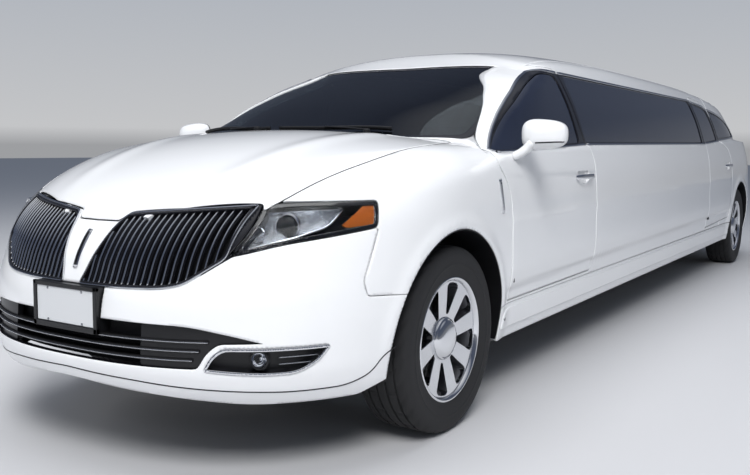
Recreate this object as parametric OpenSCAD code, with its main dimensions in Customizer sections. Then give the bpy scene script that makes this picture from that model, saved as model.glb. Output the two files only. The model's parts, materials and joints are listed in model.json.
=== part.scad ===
// Stretch limousine: a luxury wagon lengthened between its front and rear doors.
// X runs across the car (+X is its left side), Y runs along it (the nose is at -Y), Z is up.
// The origin is on the ground, under the middle of the body.

/* [Overall] */
// Bumper to bumper length of the car before it was lengthened
base_length = 5273; // [5000:1:5500]
// Axle to axle distance of the car before it was lengthened
base_wheelbase = 2995; // [2900:1:3100]
// Length let in between the front and rear doors
stretch = 3048; // [1500:1:4200]
// Width over the body sides, without the mirrors
body_width = 1930; // [1850:1:2000]
// Height of the roof's highest point
body_height = 1712; // [1680:1:1760]
// From the nose to the front axle
front_overhang = 1080; // [1060:1:1120]

/* [Panels] */
// Gap round everything that opens
panel_gap = 8; // [7:0.5:10]
// Gap between panels that stay put
seam = 0.6; // [0.4:0.1:0.9]
// Thickness of doors, side walls and quarter panels
wall = 65; // [55:1:80]
// Thickness of the outer layer that a door's full outline keeps
door_skin = 12; // [10:1:14]
// Thickness of the roof with its lining
roof_wall = 40; // [30:1:60]
// Thickness of hood, fenders and bumper covers
cover = 28; // [22:1:34]
// Thickness of the liftgate
gate_wall = 50; // [40:1:60]
// Thickness of the glass
glass = 6; // [4:1:8]
// How far glass sits behind the paint
glass_inset = 8; // [4:1:12]
// Clearance between a pane, lamp or grille and its frame
pane_fit = 0.5; // [0.3:0.1:0.8]

/* [Wheels] */
// Outer diameter of the tyres
tyre_d = 741; // [700:1:760]
// Width of the tyres
tyre_w = 235; // [205:1:245]
// Diameter of the bead seat that carries the tyre
rim_d = 482; // [440:1:500]
// Distance between the outer faces of the tyres on one axle
wheels_over = 1890; // [1840:1:1910]
// Radius of the wheel arch openings
arch_r = 432; // [420:1:445]
// Number of spokes on each wheel
spokes = 8; // [5:1:12]
// Distance of the steering axis from the middle of the car
kingpin_x = 745; // [735:1:755]
// Radius of the wheel spindles
spindle_r = 30; // [24:1:36]
// Running clearance at spindles and hinge pins
running_fit = 0.08; // [0.02:0.01:0.1]

/* [Cabin] */
// Top face of the floor
floor_z = 300; // [290:1:320]
// Thickness of the floor
floor_t = 40; // [30:1:60]
// Height of the seat cushions above the floor
seat_h = 330; // [280:1:380]

/* [Licence plate] */
// Width of the plate bracket
plate_w = 330; // [310:1:540]
// Height of the plate bracket
plate_h = 160; // [150:1:200]
// Distance between its screw holes across the car
plate_hole_x = 178; // [170:1:200]
// Distance between its screw holes up the car
plate_hole_z = 121; // [110:1:130]
// Radius of its screw holes
plate_hole_r = 3; // [2.5:0.1:4]

/* [Hidden] */
$fn = 48;

body_length = base_length + stretch;
wheelbase = base_wheelbase + stretch;
nose_y = -body_length / 2;
tail_y = body_length / 2;
front_y = nose_y + front_overhang;
rear_y = front_y + wheelbase;
axle_z = tyre_d / 2;
track_x = (wheels_over - tyre_w) / 2;
wider = (body_width - 1930) / 2;
higher = body_height - 1712;
white = "white";
tint = "darkslateblue";
black = [0.12, 0.12, 0.13];
metal = "silver";

// Stations behind the front axle and behind the rear axle.
function front(d) = front_y + d;
function rear(d) = rear_y + d;
function look(t, x) = lookup(x, t);

// ---- The body's outer surface -------------------------------------------------

// Half width of the body below the belt, by height.
side_profile = [[180, 880], [260, 922], [340, 938], [440, 948], [560, 959], [700, 965],
    [850, 963], [1000, 953], [1100, 934], [1240, 900]];
// How far the nose stands back from its foremost point, by height.
nose_profile = [[180, 200], [260, 70], [340, 14], [400, 0], [500, 5], [600, 17], [700, 52],
    [800, 88], [870, 122], [950, 195], [1100, 400]];
// How far the tail stands forward of its rearmost point, by height.
tail_profile = [[180, 180], [260, 90], [360, 20], [480, 0], [640, 8], [760, 60], [900, 95],
    [1050, 120], [1180, 150], [1240, 180]];
body_levels = [180, 260, 340, 400, 480, 560, 700, 850, 1000, 1100, 1240];
nose_corner = [1000, 2.5];
tail_corner = [900, 2.9];

// Height of the hood along the middle of the car, and how much a surface falls towards its sides.
hood_from = front(-1000);
hood_run = 1330;
function hood_z(y) = let (s = max(0, min(1, (y - hood_from) / hood_run))) 838 + 365 * (1 - pow(1 - s, 2.4));
function fall(x, drop, power) = drop * pow(abs(x) / 900, power);
belt_line = [[front(-1100), 1080], [front(450), 1112], [front(1500), 1138], [rear(-1900), 1165],
    [rear(-900), 1190], [rear(200), 1215], [rear(1200), 1215]];
function deck_z(x, y) = let (h = hood_z(y) - fall(x, 85, 2.2))
    y < hood_from + hood_run ? h : max(look(belt_line, y), h - (y - hood_from - hood_run) * 0.6);

// Height of the roof along the middle, and the plan of the windows and pillars by height.
roof_line = [[front(300), 1420], [front(1100), 1565], [front(1200), 1592], [front(1350), 1640],
    [front(1600), 1676], [front(2000), 1696], [front(2700), 1710], [rear(-2600), 1712], [rear(-1600), 1704],
    [rear(-800), 1676], [rear(-200), 1636], [rear(400), 1578], [rear(800), 1520], [rear(1200), 1450]];
function roof_z(x, y) = look(roof_line, y) + higher - fall(x, 150, 2.6);
green_side = [[1000, 950], [1080, 932], [1120, 915], [1200, 895], [1350, 848], [1450, 805], [1550, 755],
    [1620, 712], [1720, 630]];
green_nose = [[1000, -360], [1100, -95], [1160, 85], [1350, 585], [1550, 1133], [1720, 1600]];
green_corner = [[1000, 1100], [1160, 1080], [1350, 640], [1550, 320], [1720, 320]];
green_tail = [[1000, 1120], [1180, 1040], [1300, 960], [1440, 850], [1560, 730], [1720, 500]];
green_levels = [1000, 1080, 1120, 1160, 1200, 1275, 1350, 1450, 1550, 1620, 1720];

// A quarter of a superellipse corner, as offsets from the middle of the end and from its tip.
function quarter(a, b, p, n, from, to) = [for (i = [from : sign(to - from) : to])
    let (t = 90 * i / n) [a * pow(sin(t), 2 / p), b * (1 - pow(cos(t), 2 / p))]];
function half_plan(a, y0, c0, y1, c1, n) = concat(
    [for (q = quarter(a, c0[0], c0[1], n, 0, n)) [q[0], y0 + q[1]]],
    [for (q = quarter(a, c1[0], c1[1], n, n, 0)) [q[0], y1 - q[1]]]);
// One level plan outline, anticlockwise from the middle of the nose.
function plan(a, y0, c0, y1, c1, n) = let (h = half_plan(a, y0, c0, y1, c1, n))
    concat(h, [for (i = [len(h) - 2 : -1 : 1]) [-h[i][0], h[i][1]]]);

// A closed solid through level outlines that all have the same number of points.
module stack(levels, heights) {
    n = len(levels[0]);
    m = len(levels);
    points = [for (k = [0 : m - 1]) for (p = levels[k]) [p[0], p[1], heights[k]]];
    faces = concat([[for (i = [0 : n - 1]) i]], [[for (i = [n - 1 : -1 : 0]) (m - 1) * n + i]],
        [for (k = [0 : m - 2]) for (i = [0 : n - 1])
            [k * n + i, (k + 1) * n + i, (k + 1) * n + (i + 1) % n, k * n + (i + 1) % n]]);
    polyhedron(points, faces);
}

// A closed solid under rows of heights.
module under(xs, ys, zs) {
    nx = len(xs);
    ny = len(ys);
    n = nx * ny;
    top = [for (j = [0 : ny - 1]) for (i = [0 : nx - 1]) [xs[i], ys[j], zs[j][i]]];
    base = [for (j = [0 : ny - 1]) for (i = [0 : nx - 1]) [xs[i], ys[j], 0]];
    rim = concat([for (i = [0 : nx - 1]) i], [for (j = [1 : ny - 1]) j * nx + nx - 1],
        [for (i = [nx - 2 : -1 : 0]) (ny - 1) * nx + i], [for (j = [ny - 2 : -1 : 1]) j * nx]);
    cells = [for (j = [0 : ny - 2]) for (i = [0 : nx - 2]) j * nx + i];
    faces = concat([for (a = cells) [a, a + nx, a + nx + 1]], [for (a = cells) [a, a + nx + 1, a + 1]],
        [for (a = cells) [n + a, n + a + 1, n + a + nx + 1, n + a + nx]],
        [for (k = [0 : len(rim) - 1]) let (a = rim[k], b = rim[(k + 1) % len(rim)]) [a, b, n + b, n + a]]);
    polyhedron(concat(top, base), faces);
}

module lower_body(inset) {
    stack([for (z = body_levels) plan(look(side_profile, z) + wider - inset,
        nose_y + look(nose_profile, z) + inset, nose_corner,
        tail_y - look(tail_profile, z) - inset, tail_corner, 10)], body_levels);
}
deck_x = [-1040, -860, -720, -560, -380, -190, 0, 190, 380, 560, 720, 860, 1040];
deck_y = concat([for (d = [-1120, -1000, -960, -900, -820, -700, -550, -400, -250, -100, 80, 210, 330, 450]) front(d)],
    [front(1500), rear(-1900), rear(-900), rear(200), tail_y + 50]);
module deck_space(inset) {
    under(deck_x, deck_y, [for (y = deck_y) [for (x = deck_x) deck_z(x, y) - inset]]);
}
// The raked ends move in further along Y than the inset, so that they keep their thickness.
nose_rake = 2.2;
tail_rake = 1.3;
module greenhouse(inset, drop = 0) {
    stack([for (z = green_levels) plan(look(green_side, z) + wider - inset,
        front(look(green_nose, z)) + inset * nose_rake, [look(green_corner, z), 3.2],
        rear(look(green_tail, z)) - inset * tail_rake, [1500, 2.6], 10)],
        [for (z = green_levels) z == green_levels[0] ? z - drop : z + higher]);
}
roof_x = [-1000, -800, -680, -540, -360, -180, 0, 180, 360, 540, 680, 800, 1000];
roof_y = concat([front(-500)], [for (r = roof_line) r[0]], [tail_y + 50]);
module roof_space(inset) {
    under(roof_x, roof_y, [for (y = roof_y) [for (x = roof_x) roof_z(x, y) - inset]]);
}
// The whole body as one closed solid, moved in by the inset on every side.
module body_solid(inset, drop = 0) {
    intersection() {
        lower_body(inset);
        deck_space(inset);
    }
    intersection() {
        greenhouse(inset, drop);
        roof_space(inset);
    }
}
module skin(from, to) {
    difference() {
        body_solid(from);
        body_solid(to, 500);
    }
}
// Curved panels are cut from the skin as one mesh.
module panel() {
    resize([0, 0, 0]) children();
}

// ---- Cutting tools -------------------------------------------------------------

reach = 1200 + wider;
// A prism along X over a side-view outline of [y, z] points.
module across(points, x0 = -reach, x1 = reach) {
    translate([x0, 0, 0]) rotate([90, 0, 90]) linear_extrude(x1 - x0) polygon(points);
}
// A prism along Z over a plan outline of [x, y] points.
module upright(points, z0 = 0, z1 = 1900) {
    translate([0, 0, z0]) linear_extrude(z1 - z0) polygon(points);
}
// A prism along Y over a front-view outline of [x, z] points.
module lengthwise(points, y0, y1) {
    translate([0, y1, 0]) rotate([90, 0, 0]) linear_extrude(y1 - y0) polygon(points);
}
module box(from, to) {
    translate(from) cube(to - from);
}
module both_sides() {
    children();
    mirror([1, 0, 0]) children();
}
// An outline with each edge moved outwards by d; the points run anticlockwise.
function edge_out(a, b) = let (v = b - a) [v[1], -v[0]] / norm(v);
function grow(p, d) = [for (i = [0 : len(p) - 1]) let (
    a = p[(i + len(p) - 1) % len(p)], b = p[i], c = p[(i + 1) % len(p)],
    u = edge_out(a, b), v = edge_out(b, c)) b + d * (u + v) / (1 + u * v)];
// A half outline from the front middle round to the rear middle, and its mirror image.
function mirrored(h) = concat(h, [for (i = [len(h) - 1 : -1 : 0]) if (h[i][0] > 0) [-h[i][0], h[i][1]]]);

// ---- Outlines, anticlockwise -----------------------------------------------------------------

sill_z = 432;
// Side view, as [y, z].
front_door_line = [[front(514), 448], [front(1630), 455], [front(1640), 1090], [front(1560), 1180],
    [front(1500), 1490], [front(1480), 1545], [front(1230), 1562], [front(1000), 1490], [front(720), 1350],
    [front(430), 1160], [front(386), 1100], [front(396), 1050], [front(455), 990], [front(500), 900]];
front_window_line = [[front(450), 1115], [front(1495), 1152], [front(1450), 1478], [front(1425), 1512],
    [front(1270), 1516], [front(1050), 1440], [front(760), 1300]];
rear_door_line = [[rear(-1440), 462], [rear(-492), 490], [rear(-462), 620], [rear(-430), 760], [rear(-445), 1000],
    [rear(-500), 1120], [rear(-800), 1195], [rear(-832), 1235], [rear(-885), 1490], [rear(-1000), 1535], [rear(-1420), 1560],
    [rear(-1450), 1530], [rear(-1440), 1150]];
rear_window_line = [[rear(-1400), 1182], [rear(-880), 1208], [rear(-935), 1455], [rear(-1010), 1482],
    [rear(-1370), 1510], [rear(-1405), 1490]];
stretch_window_line = [[front(1600), 1156], [rear(-1500), 1180], [rear(-1500), 1490], [rear(-1530), 1524],
    [front(1590), 1524], [front(1560), 1490]];
quarter_window_line = [[rear(-780), 1228], [rear(-420), 1236], [rear(60), 1258], [rear(140), 1280],
    [rear(-120), 1372], [rear(-480), 1436], [rear(-835), 1462]];
bumper_line = [[nose_y - 50, 200], [front(-300), 200], [front(-300), 598], [front(-398), 605], [front(-542), 615],
    [front(-556), 665], [front(-474), 838], [front(-600), 850], [front(-600), 932], [nose_y - 50, 932]];
rear_bumper_line = [[rear(300), 200], [tail_y + 50, 200], [tail_y + 50, 620], [rear(560), 640], [rear(400), 560], [rear(300), 540]];
lamp_end_line = [[nose_y - 50, 700], [front(-476), 700], [front(-474), 842], [front(-440), 920], [front(-448), 945],
    [nose_y - 50, 945]];
// Plan view, as [x, y].
hood_line = mirrored([[0, nose_y - 50], [596, nose_y - 50], [600, front(-772)], [652, front(-658)],
    [700, front(-500)], [755, front(-300)], [778, front(-60)], [782, front(150)], [762, front(300)],
    [690, front(255)], [560, front(140)], [330, front(85)], [0, front(70)]]);
windshield_line = mirrored([[0, front(98)], [330, front(112)], [560, front(168)], [700, front(286)],
    [778, front(376)], [792, front(440)], [784, front(529)], [740, front(860)], [660, front(1140)],
    [630, front(1205)], [330, front(1165)], [0, front(1150)]]);
roof_outline = mirrored([[0, front(1150) + seam], [330, front(1165) + seam], [630, front(1205) + seam],
    [662, front(1260)], [655, rear(-900)], [570, rear(640)], [0, rear(640)]]);
// Front view, as [x, z].
hood_front_line = mirrored([[0, 862], [106, 863], [126, 897], [330, 915], [596, 936], [860, 960], [860, 1300], [0, 1300]]);
grille_line = [[42, 650], [207, 650], [380, 656], [456, 670], [508, 708], [572, 756], [590, 926],
    [330, 905], [134, 888], [112, 855]];
headlamp_line = [[577, 760], [618, 771], [712, 800], [886, 845], [1040, 862], [1040, 946], [863, 941], [600, 930], [597, 926]];
fog_line = [[543, 399], [694, 382], [771, 383], [812, 417], [848, 470], [702, 471], [598, 474], [568, 448]];
intake_line = mirrored([[0, 404], [526, 404], [552, 455], [585, 487], [706, 487], [630, 512], [502, 543], [160, 548], [0, 548]]);
rear_window = mirrored([[0, 1235], [610, 1245], [500, 1490], [0, 1505]]);
tail_lamp_line = [[690, 880], [1000, 880], [1000, 1010], [690, 985]];

// ---- Hinges ------------------------------------------------------------------------------

pin_r = 4;
barrel_r = 8;
barrel_h = 28;
ear_h = 18;
pin_in = 13;
pin_back = 30;
inner_start = 36;
hinge_reach = barrel_h / 2 + ear_h + 1;
// Places a hinge: its pin lies along local Z, the outside of the car is +X and the panel runs off to +Y.
module at_hinges(h) {
    for (p = h[0]) multmatrix(h[1]) translate(p) children();
}
// The fixed half, with an arm of the given depth inside the car that runs back past the shut line.
module hinge_fixed(depth, run) {
    for (side = [-1, 1]) {
        translate([0, 0, side * (barrel_h + ear_h + 1) / 2]) cylinder(r = barrel_r, h = ear_h, center = true);
        box([-depth - 12, -barrel_r, side * (barrel_h + ear_h + 1) / 2 - ear_h / 2],
            [0, barrel_r, side * (barrel_h + ear_h + 1) / 2 + ear_h / 2]);
    }
    cylinder(r = pin_r, h = 2 * hinge_reach - 2, center = true);
    box([-depth - 12, -pin_back - panel_gap - run, -hinge_reach + 1], [-depth, barrel_r, hinge_reach - 1]);
}
module hinge_moving() {
    difference() {
        union() {
            cylinder(r = barrel_r, h = barrel_h, center = true);
            box([-barrel_r, 0, -barrel_h / 2], [barrel_r / 2, inner_start + 4, barrel_h / 2]);
        }
        cylinder(r = pin_r + running_fit, h = barrel_h + 2, center = true);
    }
}
module hinge_pocket() {
    box([-200, -pin_back - 60, -hinge_reach - 1], [barrel_r + 1, barrel_r + 2, hinge_reach + 1]);
}
door_pin_x = 965 + wider - pin_in;
front_door_pin_y = front(514) + pin_back;
rear_door_pin_y = rear(-1440) + pin_back;
upright_frame = [[1, 0, 0, 0], [0, 1, 0, 0], [0, 0, 1, 0], [0, 0, 0, 1]];
front_door_hinges = [[for (z = [560, 820]) [door_pin_x, front_door_pin_y, z]], upright_frame];
rear_door_hinges = [[for (z = [560, 860]) [door_pin_x, rear_door_pin_y, z]], upright_frame];
// Local X is up and local Y runs rearwards for the liftgate, forwards for the hood.
gate_hinge_x = 200;
gate_pin = [rear(640) + panel_gap + pin_back, roof_z(gate_hinge_x, rear(678)) - pin_in + 2];
hood_pin = [front(262), deck_z(730, front(262)) - pin_in];
gate_hinges = [[for (x = [-gate_hinge_x, gate_hinge_x]) [0, 0, x]], [[0, 0, 1, 0], [0, 1, 0, gate_pin[0]], [1, 0, 0, gate_pin[1]], [0, 0, 0, 1]]];
hood_hinges = [[for (x = [-722, 722]) [0, 0, x]], [[0, 0, 1, 0], [0, -1, 0, hood_pin[0]], [1, 0, 0, hood_pin[1]], [0, 0, 0, 1]]];
door_arm = 72;
lid_arm = 52;
module hinges() color(metal) {
    both_sides() {
        at_hinges(front_door_hinges) hinge_fixed(door_arm, 60);
        at_hinges(rear_door_hinges) hinge_fixed(door_arm, 60);
    }
    at_hinges(gate_hinges) hinge_fixed(lid_arm, 60);
    at_hinges(hood_hinges) hinge_fixed(lid_arm, 0);
    panel() difference() {
        intersection() {
            body_solid(wall + 0.4, 500);
            both_sides() {
                at_hinges(front_door_hinges) box([-door_arm - 1, -pin_back - 67, -hinge_reach + 1], [0, -pin_back - 14, hinge_reach - 1]);
                at_hinges(rear_door_hinges) box([-door_arm - 1, -pin_back - 67, -hinge_reach + 1], [0, -pin_back - 14, hinge_reach - 1]);
            }
        }
    }
    panel() intersection() {
        body_solid(roof_wall + 0.4, 500);
        at_hinges(gate_hinges) box([-lid_arm - 1, -pin_back - 67, -hinge_reach + 1], [0, -pin_back - 14, hinge_reach - 1]);
    }
    panel() difference() {
        intersection() {
            body_solid(cover + 0.4, 500);
            both_sides() box([722 + hinge_reach - 2, front(180), hood_pin[1] - lid_arm - 12],
                [870, front(262) + barrel_r, hood_pin[1] + 20]);
        }
        intersection() {
            skin(-20, wall + 0.4);
            upper_space();
        }
    }
}

// ---- Spaces that lamps, grilles, arches and openings take ---------------------------------------------

module arches(r = arch_r) {
    for (y = [front_y, rear_y]) {
        translate([0, y, axle_z + 6]) rotate([0, 90, 0]) cylinder(r = r, h = 2 * reach, center = true, $fn = 72);
        box([-reach, y - r + 4, -10], [reach, y + r - 4, axle_z - 40]);
    }
}
module grille_space(out) both_sides() lengthwise(grille_line_grown(out), nose_y - 50, nose_y + 560);
function grille_line_grown(out) = grow(grille_line, out);
module intake_space(out) lengthwise(grow(intake_line, out), nose_y - 50, nose_y + 420);
module headlamp_space(out) both_sides() intersection() {
    lengthwise(grow(headlamp_line, out), nose_y, front(-400));
    across(grow(lamp_end_line, out));
}
module fog_space(out) both_sides() lengthwise(grow(fog_line, out), nose_y - 50, nose_y + 520);
module plate_space(out) box([-plate_w / 2 - out, nose_y - 20, 490 - out], [plate_w / 2 + out, nose_y + 66 + out, 490 + plate_h + out]);
module tail_lamp_space(out) both_sides() lengthwise(grow(tail_lamp_line, out), rear(520), tail_y + 50);
module hood_space(out) intersection() {
    upright(grow(hood_line, out), 700, 1400);
    lengthwise(grow(hood_front_line, out), nose_y - 50, front(500));
}
gate_x = 684;
gate_bottom = 630;
gate_line = [[-gate_x, rear(640) + panel_gap], [gate_x, rear(640) + panel_gap], [gate_x, tail_y + 60], [-gate_x, tail_y + 60]];
module rear_window_space(out) lengthwise(grow(rear_window, out), rear(700) - out, tail_y + 50);
module gate_space(out) upright(grow(gate_line, out), gate_bottom - out, 1900);
module front_door_space(out) both_sides() across(grow(front_door_line, out), 600, reach);
module rear_door_space(out) both_sides() across(grow(rear_door_line, out), 600, reach);
// The space above the belt that windshield, pillars and roof share.
module upper_space() {
    intersection() {
        greenhouse(-6);
        box([-1000, front(-400), 1080], [1000, tail_y, 1900]);
    }
}

// ---- Fixed panels ------------------------------------------------------------------------------

module front_bumper() color(white) panel() difference() {
    intersection() {
        skin(0, cover);
        across(bumper_line);
        box([-reach, nose_y - 10, 262], [reach, front(0), 940]);
    }
    arches();
    hood_space(panel_gap);
    grille_space(0);
    intake_space(0);
    headlamp_space(0);
    fog_space(0);
    plate_space(pane_fit);
}
module grilles() color(black) panel() {
    intersection() {
        skin(12, 40);
        grille_space(-pane_fit);
    }
    difference() {
        intersection() {
            skin(16, 44);
            intake_space(-pane_fit);
        }
        plate_space(pane_fit);
    }
}
module lamps() color("lightsteelblue") panel() {
    intersection() {
        skin(3, 90);
        headlamp_space(-pane_fit);
    }
    intersection() {
        skin(8, 60);
        fog_space(-pane_fit);
    }
    intersection() {
        skin(2, 60);
        tail_lamp_space(-pane_fit);
    }
}
module front_plate() color(black) difference() {
    box([-plate_w / 2, nose_y, 490], [plate_w / 2, nose_y + 66, 490 + plate_h]);
    for (x = [-1, 1], z = [-1, 1]) translate([x * plate_hole_x / 2, nose_y - 1, 490 + plate_h / 2 + z * plate_hole_z / 2])
        rotate([-90, 0, 0]) cylinder(r = plate_hole_r, h = 31, $fn = 24);
}
module front_fenders() color(white) panel() difference() {
    intersection() {
        skin(0, cover);
        box([-reach, front(-900), sill_z], [reach, front(514) - panel_gap, 1150]);
    }
    box([-560, front(-900), 300], [560, front(600), 1200]);
    across(grow(bumper_line, seam));
    arches();
    hood_space(panel_gap);
    headlamp_space(0.1);
    grille_space(panel_gap);
    front_door_space(panel_gap);
    upper_space();
}
module cowl_panel() color(black) panel() intersection() {
    skin(14, 14 + cover);
    difference() {
        upright(mirrored([[0, front(84)], [330, front(99)], [560, front(156)], [690, front(274)], [700, front(286)],
            [560, front(190)], [330, front(150)], [0, front(140)]]), 900, 1400);
        upright(grow(windshield_line, 0.1), 900, 1400);
    }
}
module windshield() color(tint) panel() intersection() {
    skin(glass_inset, glass_inset + glass);
    upright(grow(windshield_line, -pane_fit), 1000, 1700);
    upper_space();
}
module roof() color(white) panel() intersection() {
    skin(0, roof_wall);
    upright(roof_outline, 1300, 1900);
}
// The door's forward top corner swings through this space when the door opens.
module corner_sweep() both_sides() translate([door_pin_x, front_door_pin_y, 880])
    cylinder(r = 165, h = 280, $fn = 48);
module body_sides() color(white) panel() difference() {
    union() {
        intersection() {
            skin(0, wall);
            box([-reach, front(330), sill_z], [reach, rear(-600), 1700]);
        }
        intersection() {
            skin(0, wall);
            box([-reach, front(0), 1081], [reach, front(514), 1700]);
            upper_space();
        }
    }
    difference() {
        intersection() {
            skin(-20, cover + seam);
            box([-reach, front(0), 0], [reach, front(514), 1200]);
        }
        upper_space();
    }
    arches(arch_r + 10);
    corner_sweep();
    upright(windshield_line, 900, 1900);
    upright(grow(roof_outline, seam), 1300, 1900);
    hood_space(panel_gap);
    front_door_space(panel_gap);
    rear_door_space(panel_gap);
    both_sides() across(stretch_window_line, 600, reach);
    across([[rear(-860), 0], [rear(0), 0], [rear(0), 1900], [rear(-860), 1900]]);
    box([-700 - seam, front(-200), 300], [700 + seam, front(3000), 1200]);
}
module fixed_side_glass() color(tint) panel() intersection() {
    skin(glass_inset, glass_inset + glass);
    both_sides() {
        across(grow(stretch_window_line, -pane_fit), 600, reach);
        across(grow(quarter_window_line, -pane_fit), 500, reach);
    }
}
module quarter_panels() color(white) panel() difference() {
    intersection() {
        skin(0, wall);
        box([-reach, rear(-860) + seam, sill_z], [reach, tail_y, 1700]);
    }
    arches();
    upright(grow(roof_outline, seam), 1300, 1900);
    rear_door_space(panel_gap);
    both_sides() across(quarter_window_line, 500, reach);
    gate_space(panel_gap);
    across(grow(rear_bumper_line, seam));
    tail_lamp_space(0);
    box([-560, rear(-900), 300], [560, tail_y + 50, 1700]);
}
module rear_bumper() color(white) panel() difference() {
    intersection() {
        skin(0, cover);
        across(rear_bumper_line);
        box([-reach, rear(0), 262], [reach, tail_y + 10, 900]);
    }
    arches();
    gate_space(panel_gap);
}
module rocker_panels() color(white) panel() intersection() {
    skin(0, 50);
    both_sides() box([800, front(arch_r + 6), 272], [reach, rear(-arch_r - 6), sill_z - seam]);
}
liner_r = arch_r - 4 - seam;
liner_x = 510;
module wheel_liners() color(black) for (w = [[front_y, 880], [rear_y, 905]]) both_sides() translate([0, w[0], axle_z + 6]) {
    difference() {
        translate([liner_x, 0, 0]) rotate([0, 90, 0]) cylinder(r = liner_r + 4, h = w[1] + wider - liner_x);
        translate([liner_x + 4, 0, 0]) rotate([0, 90, 0]) cylinder(r = liner_r, h = 500);
        box([400, -600, -600], [1000, 600, -40]);
        box([400, -70, -60], [600, 70, 60]);
    }
}

// ---- Opening panels ---------------------------------------------------------------

module hood() color(white) {
    panel() difference() {
        intersection() {
            skin(0, cover);
            hood_space(0);
        }
        upper_space();
        at_hinges(hood_hinges) hinge_pocket();
    }
    at_hinges(hood_hinges) hinge_moving();
}
rear_plate_z = 745;
module rear_plate() difference() {
    box([-plate_w / 2, rear(1060), rear_plate_z], [plate_w / 2, rear_plate_y, rear_plate_z + plate_h]);
    for (x = [-1, 1], z = [-1, 1])
        translate([x * plate_hole_x / 2, rear_plate_y + 1, rear_plate_z + plate_h / 2 + z * plate_hole_z / 2])
            rotate([90, 0, 0]) cylinder(r = plate_hole_r, h = 31, $fn = 24);
}
rear_plate_y = tail_y - 50;
module liftgate() color(white) {
    rear_plate();
    panel() difference() {
        intersection() {
            union() {
                skin(0, door_skin + 1);
                intersection() {
                    skin(door_skin, gate_wall);
                    box([-reach, gate_pin[0] + inner_start, 0], [reach, tail_y + 10, 1900]);
                }
            }
            gate_space(0);
            box([-reach, rear(0), gate_bottom], [reach, tail_y + 10, 1900]);
        }
        rear_window_space(0);
        box([-plate_w / 2 + 1, rear(1000), rear_plate_z + 1], [plate_w / 2 - 1, tail_y + 1, rear_plate_z + plate_h - 1]);
        at_hinges(gate_hinges) hinge_pocket();
    }
    at_hinges(gate_hinges) hinge_moving();
}
module rear_glass() color(tint) panel() intersection() {
    skin(glass_inset, glass_inset + glass);
    rear_window_space(-pane_fit);
}
// A door's inner layer starts behind the pin and stops short of its outline, more so above the belt,
// so that it swings clear of the pillars.
door_step = 0.018;
upper_step = 16;
belt_z = 1150;
function drawn_in(line, y0) = [for (p = line) [p[0] > y0 + 200
    ? y0 + (p[0] - y0) * (1 - door_step) - (p[1] > belt_z ? upper_step : 0) : p[0], p[1]]];

// The front pillars run beside the windshield; doors and their panes keep clear of them and of the roof.
pillar_w = 62;
frame_w = 34;
module beside_door(out) {
    upright(grow(windshield_line, pillar_w + out), 1000, 1900);
    upright(grow(roof_outline, out), 1300, 1900);
}
module door(line, window, pin_y, h) color(white) {
    panel() difference() {
        union() {
            intersection() {
                skin(0, door_skin + 1);
                across(line, 600);
            }
            intersection() {
                skin(door_skin, wall);
                across(drawn_in(line, pin_y), 600);
                box([600, pin_y + inner_start, 0], [reach, tail_y, 1900]);
            }
        }
        difference() {
            across(window, 600);
            beside_door(panel_gap + frame_w);
        }
        beside_door(panel_gap);
        at_hinges(h) hinge_pocket();
    }
    at_hinges(h) hinge_moving();
}
module pane(window) color(tint) panel() difference() {
    intersection() {
        skin(glass_inset, glass_inset + glass);
        across(grow(window, -pane_fit), 600);
    }
    beside_door(panel_gap + frame_w + pane_fit);
}
module left_front_door() door(front_door_line, front_window_line, front_door_pin_y, front_door_hinges);
module right_front_door() mirror([1, 0, 0]) left_front_door();
module left_rear_door() door(rear_door_line, rear_window_line, rear_door_pin_y, rear_door_hinges);
module right_rear_door() mirror([1, 0, 0]) left_rear_door();
module left_front_door_glass() pane(front_window_line);
module right_front_door_glass() mirror([1, 0, 0]) left_front_door_glass();
module left_rear_door_glass() pane(rear_window_line);
module right_rear_door_glass() mirror([1, 0, 0]) left_rear_door_glass();

mirror_x = 1000 + wider;
module left_mirror() color(white) panel() difference() {
    union() {
        hull() for (x = [10, 135], z = [-18, 38]) translate([mirror_x + x - 10, front(585) + x / 6, 1175 + z]) sphere(r = 38, $fn = 20);
        hull() {
            translate([mirror_x - 10, front(590), 1130]) sphere(r = 28, $fn = 16);
            translate([mirror_x - 70, front(570), 1095]) sphere(r = 26, $fn = 16);
        }
    }
    body_solid(-pane_fit);
}
module right_mirror() mirror([1, 0, 0]) left_mirror();

// ---- Wheels ------------------------------------------------------------------------

bead_r = rim_d / 2;
tyre_profile = [[bead_r, -tyre_w / 2 + 18], [bead_r + 18, -tyre_w / 2 + 6], [tyre_d / 2 - 55, -tyre_w / 2],
    [tyre_d / 2 - 14, -tyre_w / 2 + 14], [tyre_d / 2, -tyre_w / 2 + 40], [tyre_d / 2, tyre_w / 2 - 40],
    [tyre_d / 2 - 14, tyre_w / 2 - 14], [tyre_d / 2 - 55, tyre_w / 2], [bead_r + 18, tyre_w / 2 - 6], [bead_r, tyre_w / 2 - 18]];
module tyre(side, y) color(black) translate([side * track_x, y, axle_z]) rotate([0, 90, 0])
    rotate_extrude($fn = 72) polygon(tyre_profile);
disc_r = 165;
module rim(side, y) color(metal) translate([side * track_x, y, axle_z]) rotate([0, side * 90, 0]) difference() {
    union() {
        difference() {
            cylinder(r = bead_r - running_fit, h = tyre_w - 36, center = true);
            cylinder(r = bead_r - 14, h = tyre_w, center = true);
        }
        translate([0, 0, 34]) {
            cylinder(r = 82, h = 44);
            for (i = [0 : spokes - 1]) rotate([0, 0, 360 / spokes * i]) box([0, -30, 10], [bead_r - 7, 30, 40]);
        }
        translate([0, 0, -8]) cylinder(r = disc_r, h = 24);
        cylinder(r = 70, h = 50);
    }
    translate([0, 0, -60]) cylinder(r = spindle_r + running_fit, h = 100);
}
module front_left_tyre() tyre(1, front_y);
module front_right_tyre() tyre(-1, front_y);
module rear_left_tyre() tyre(1, rear_y);
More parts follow.
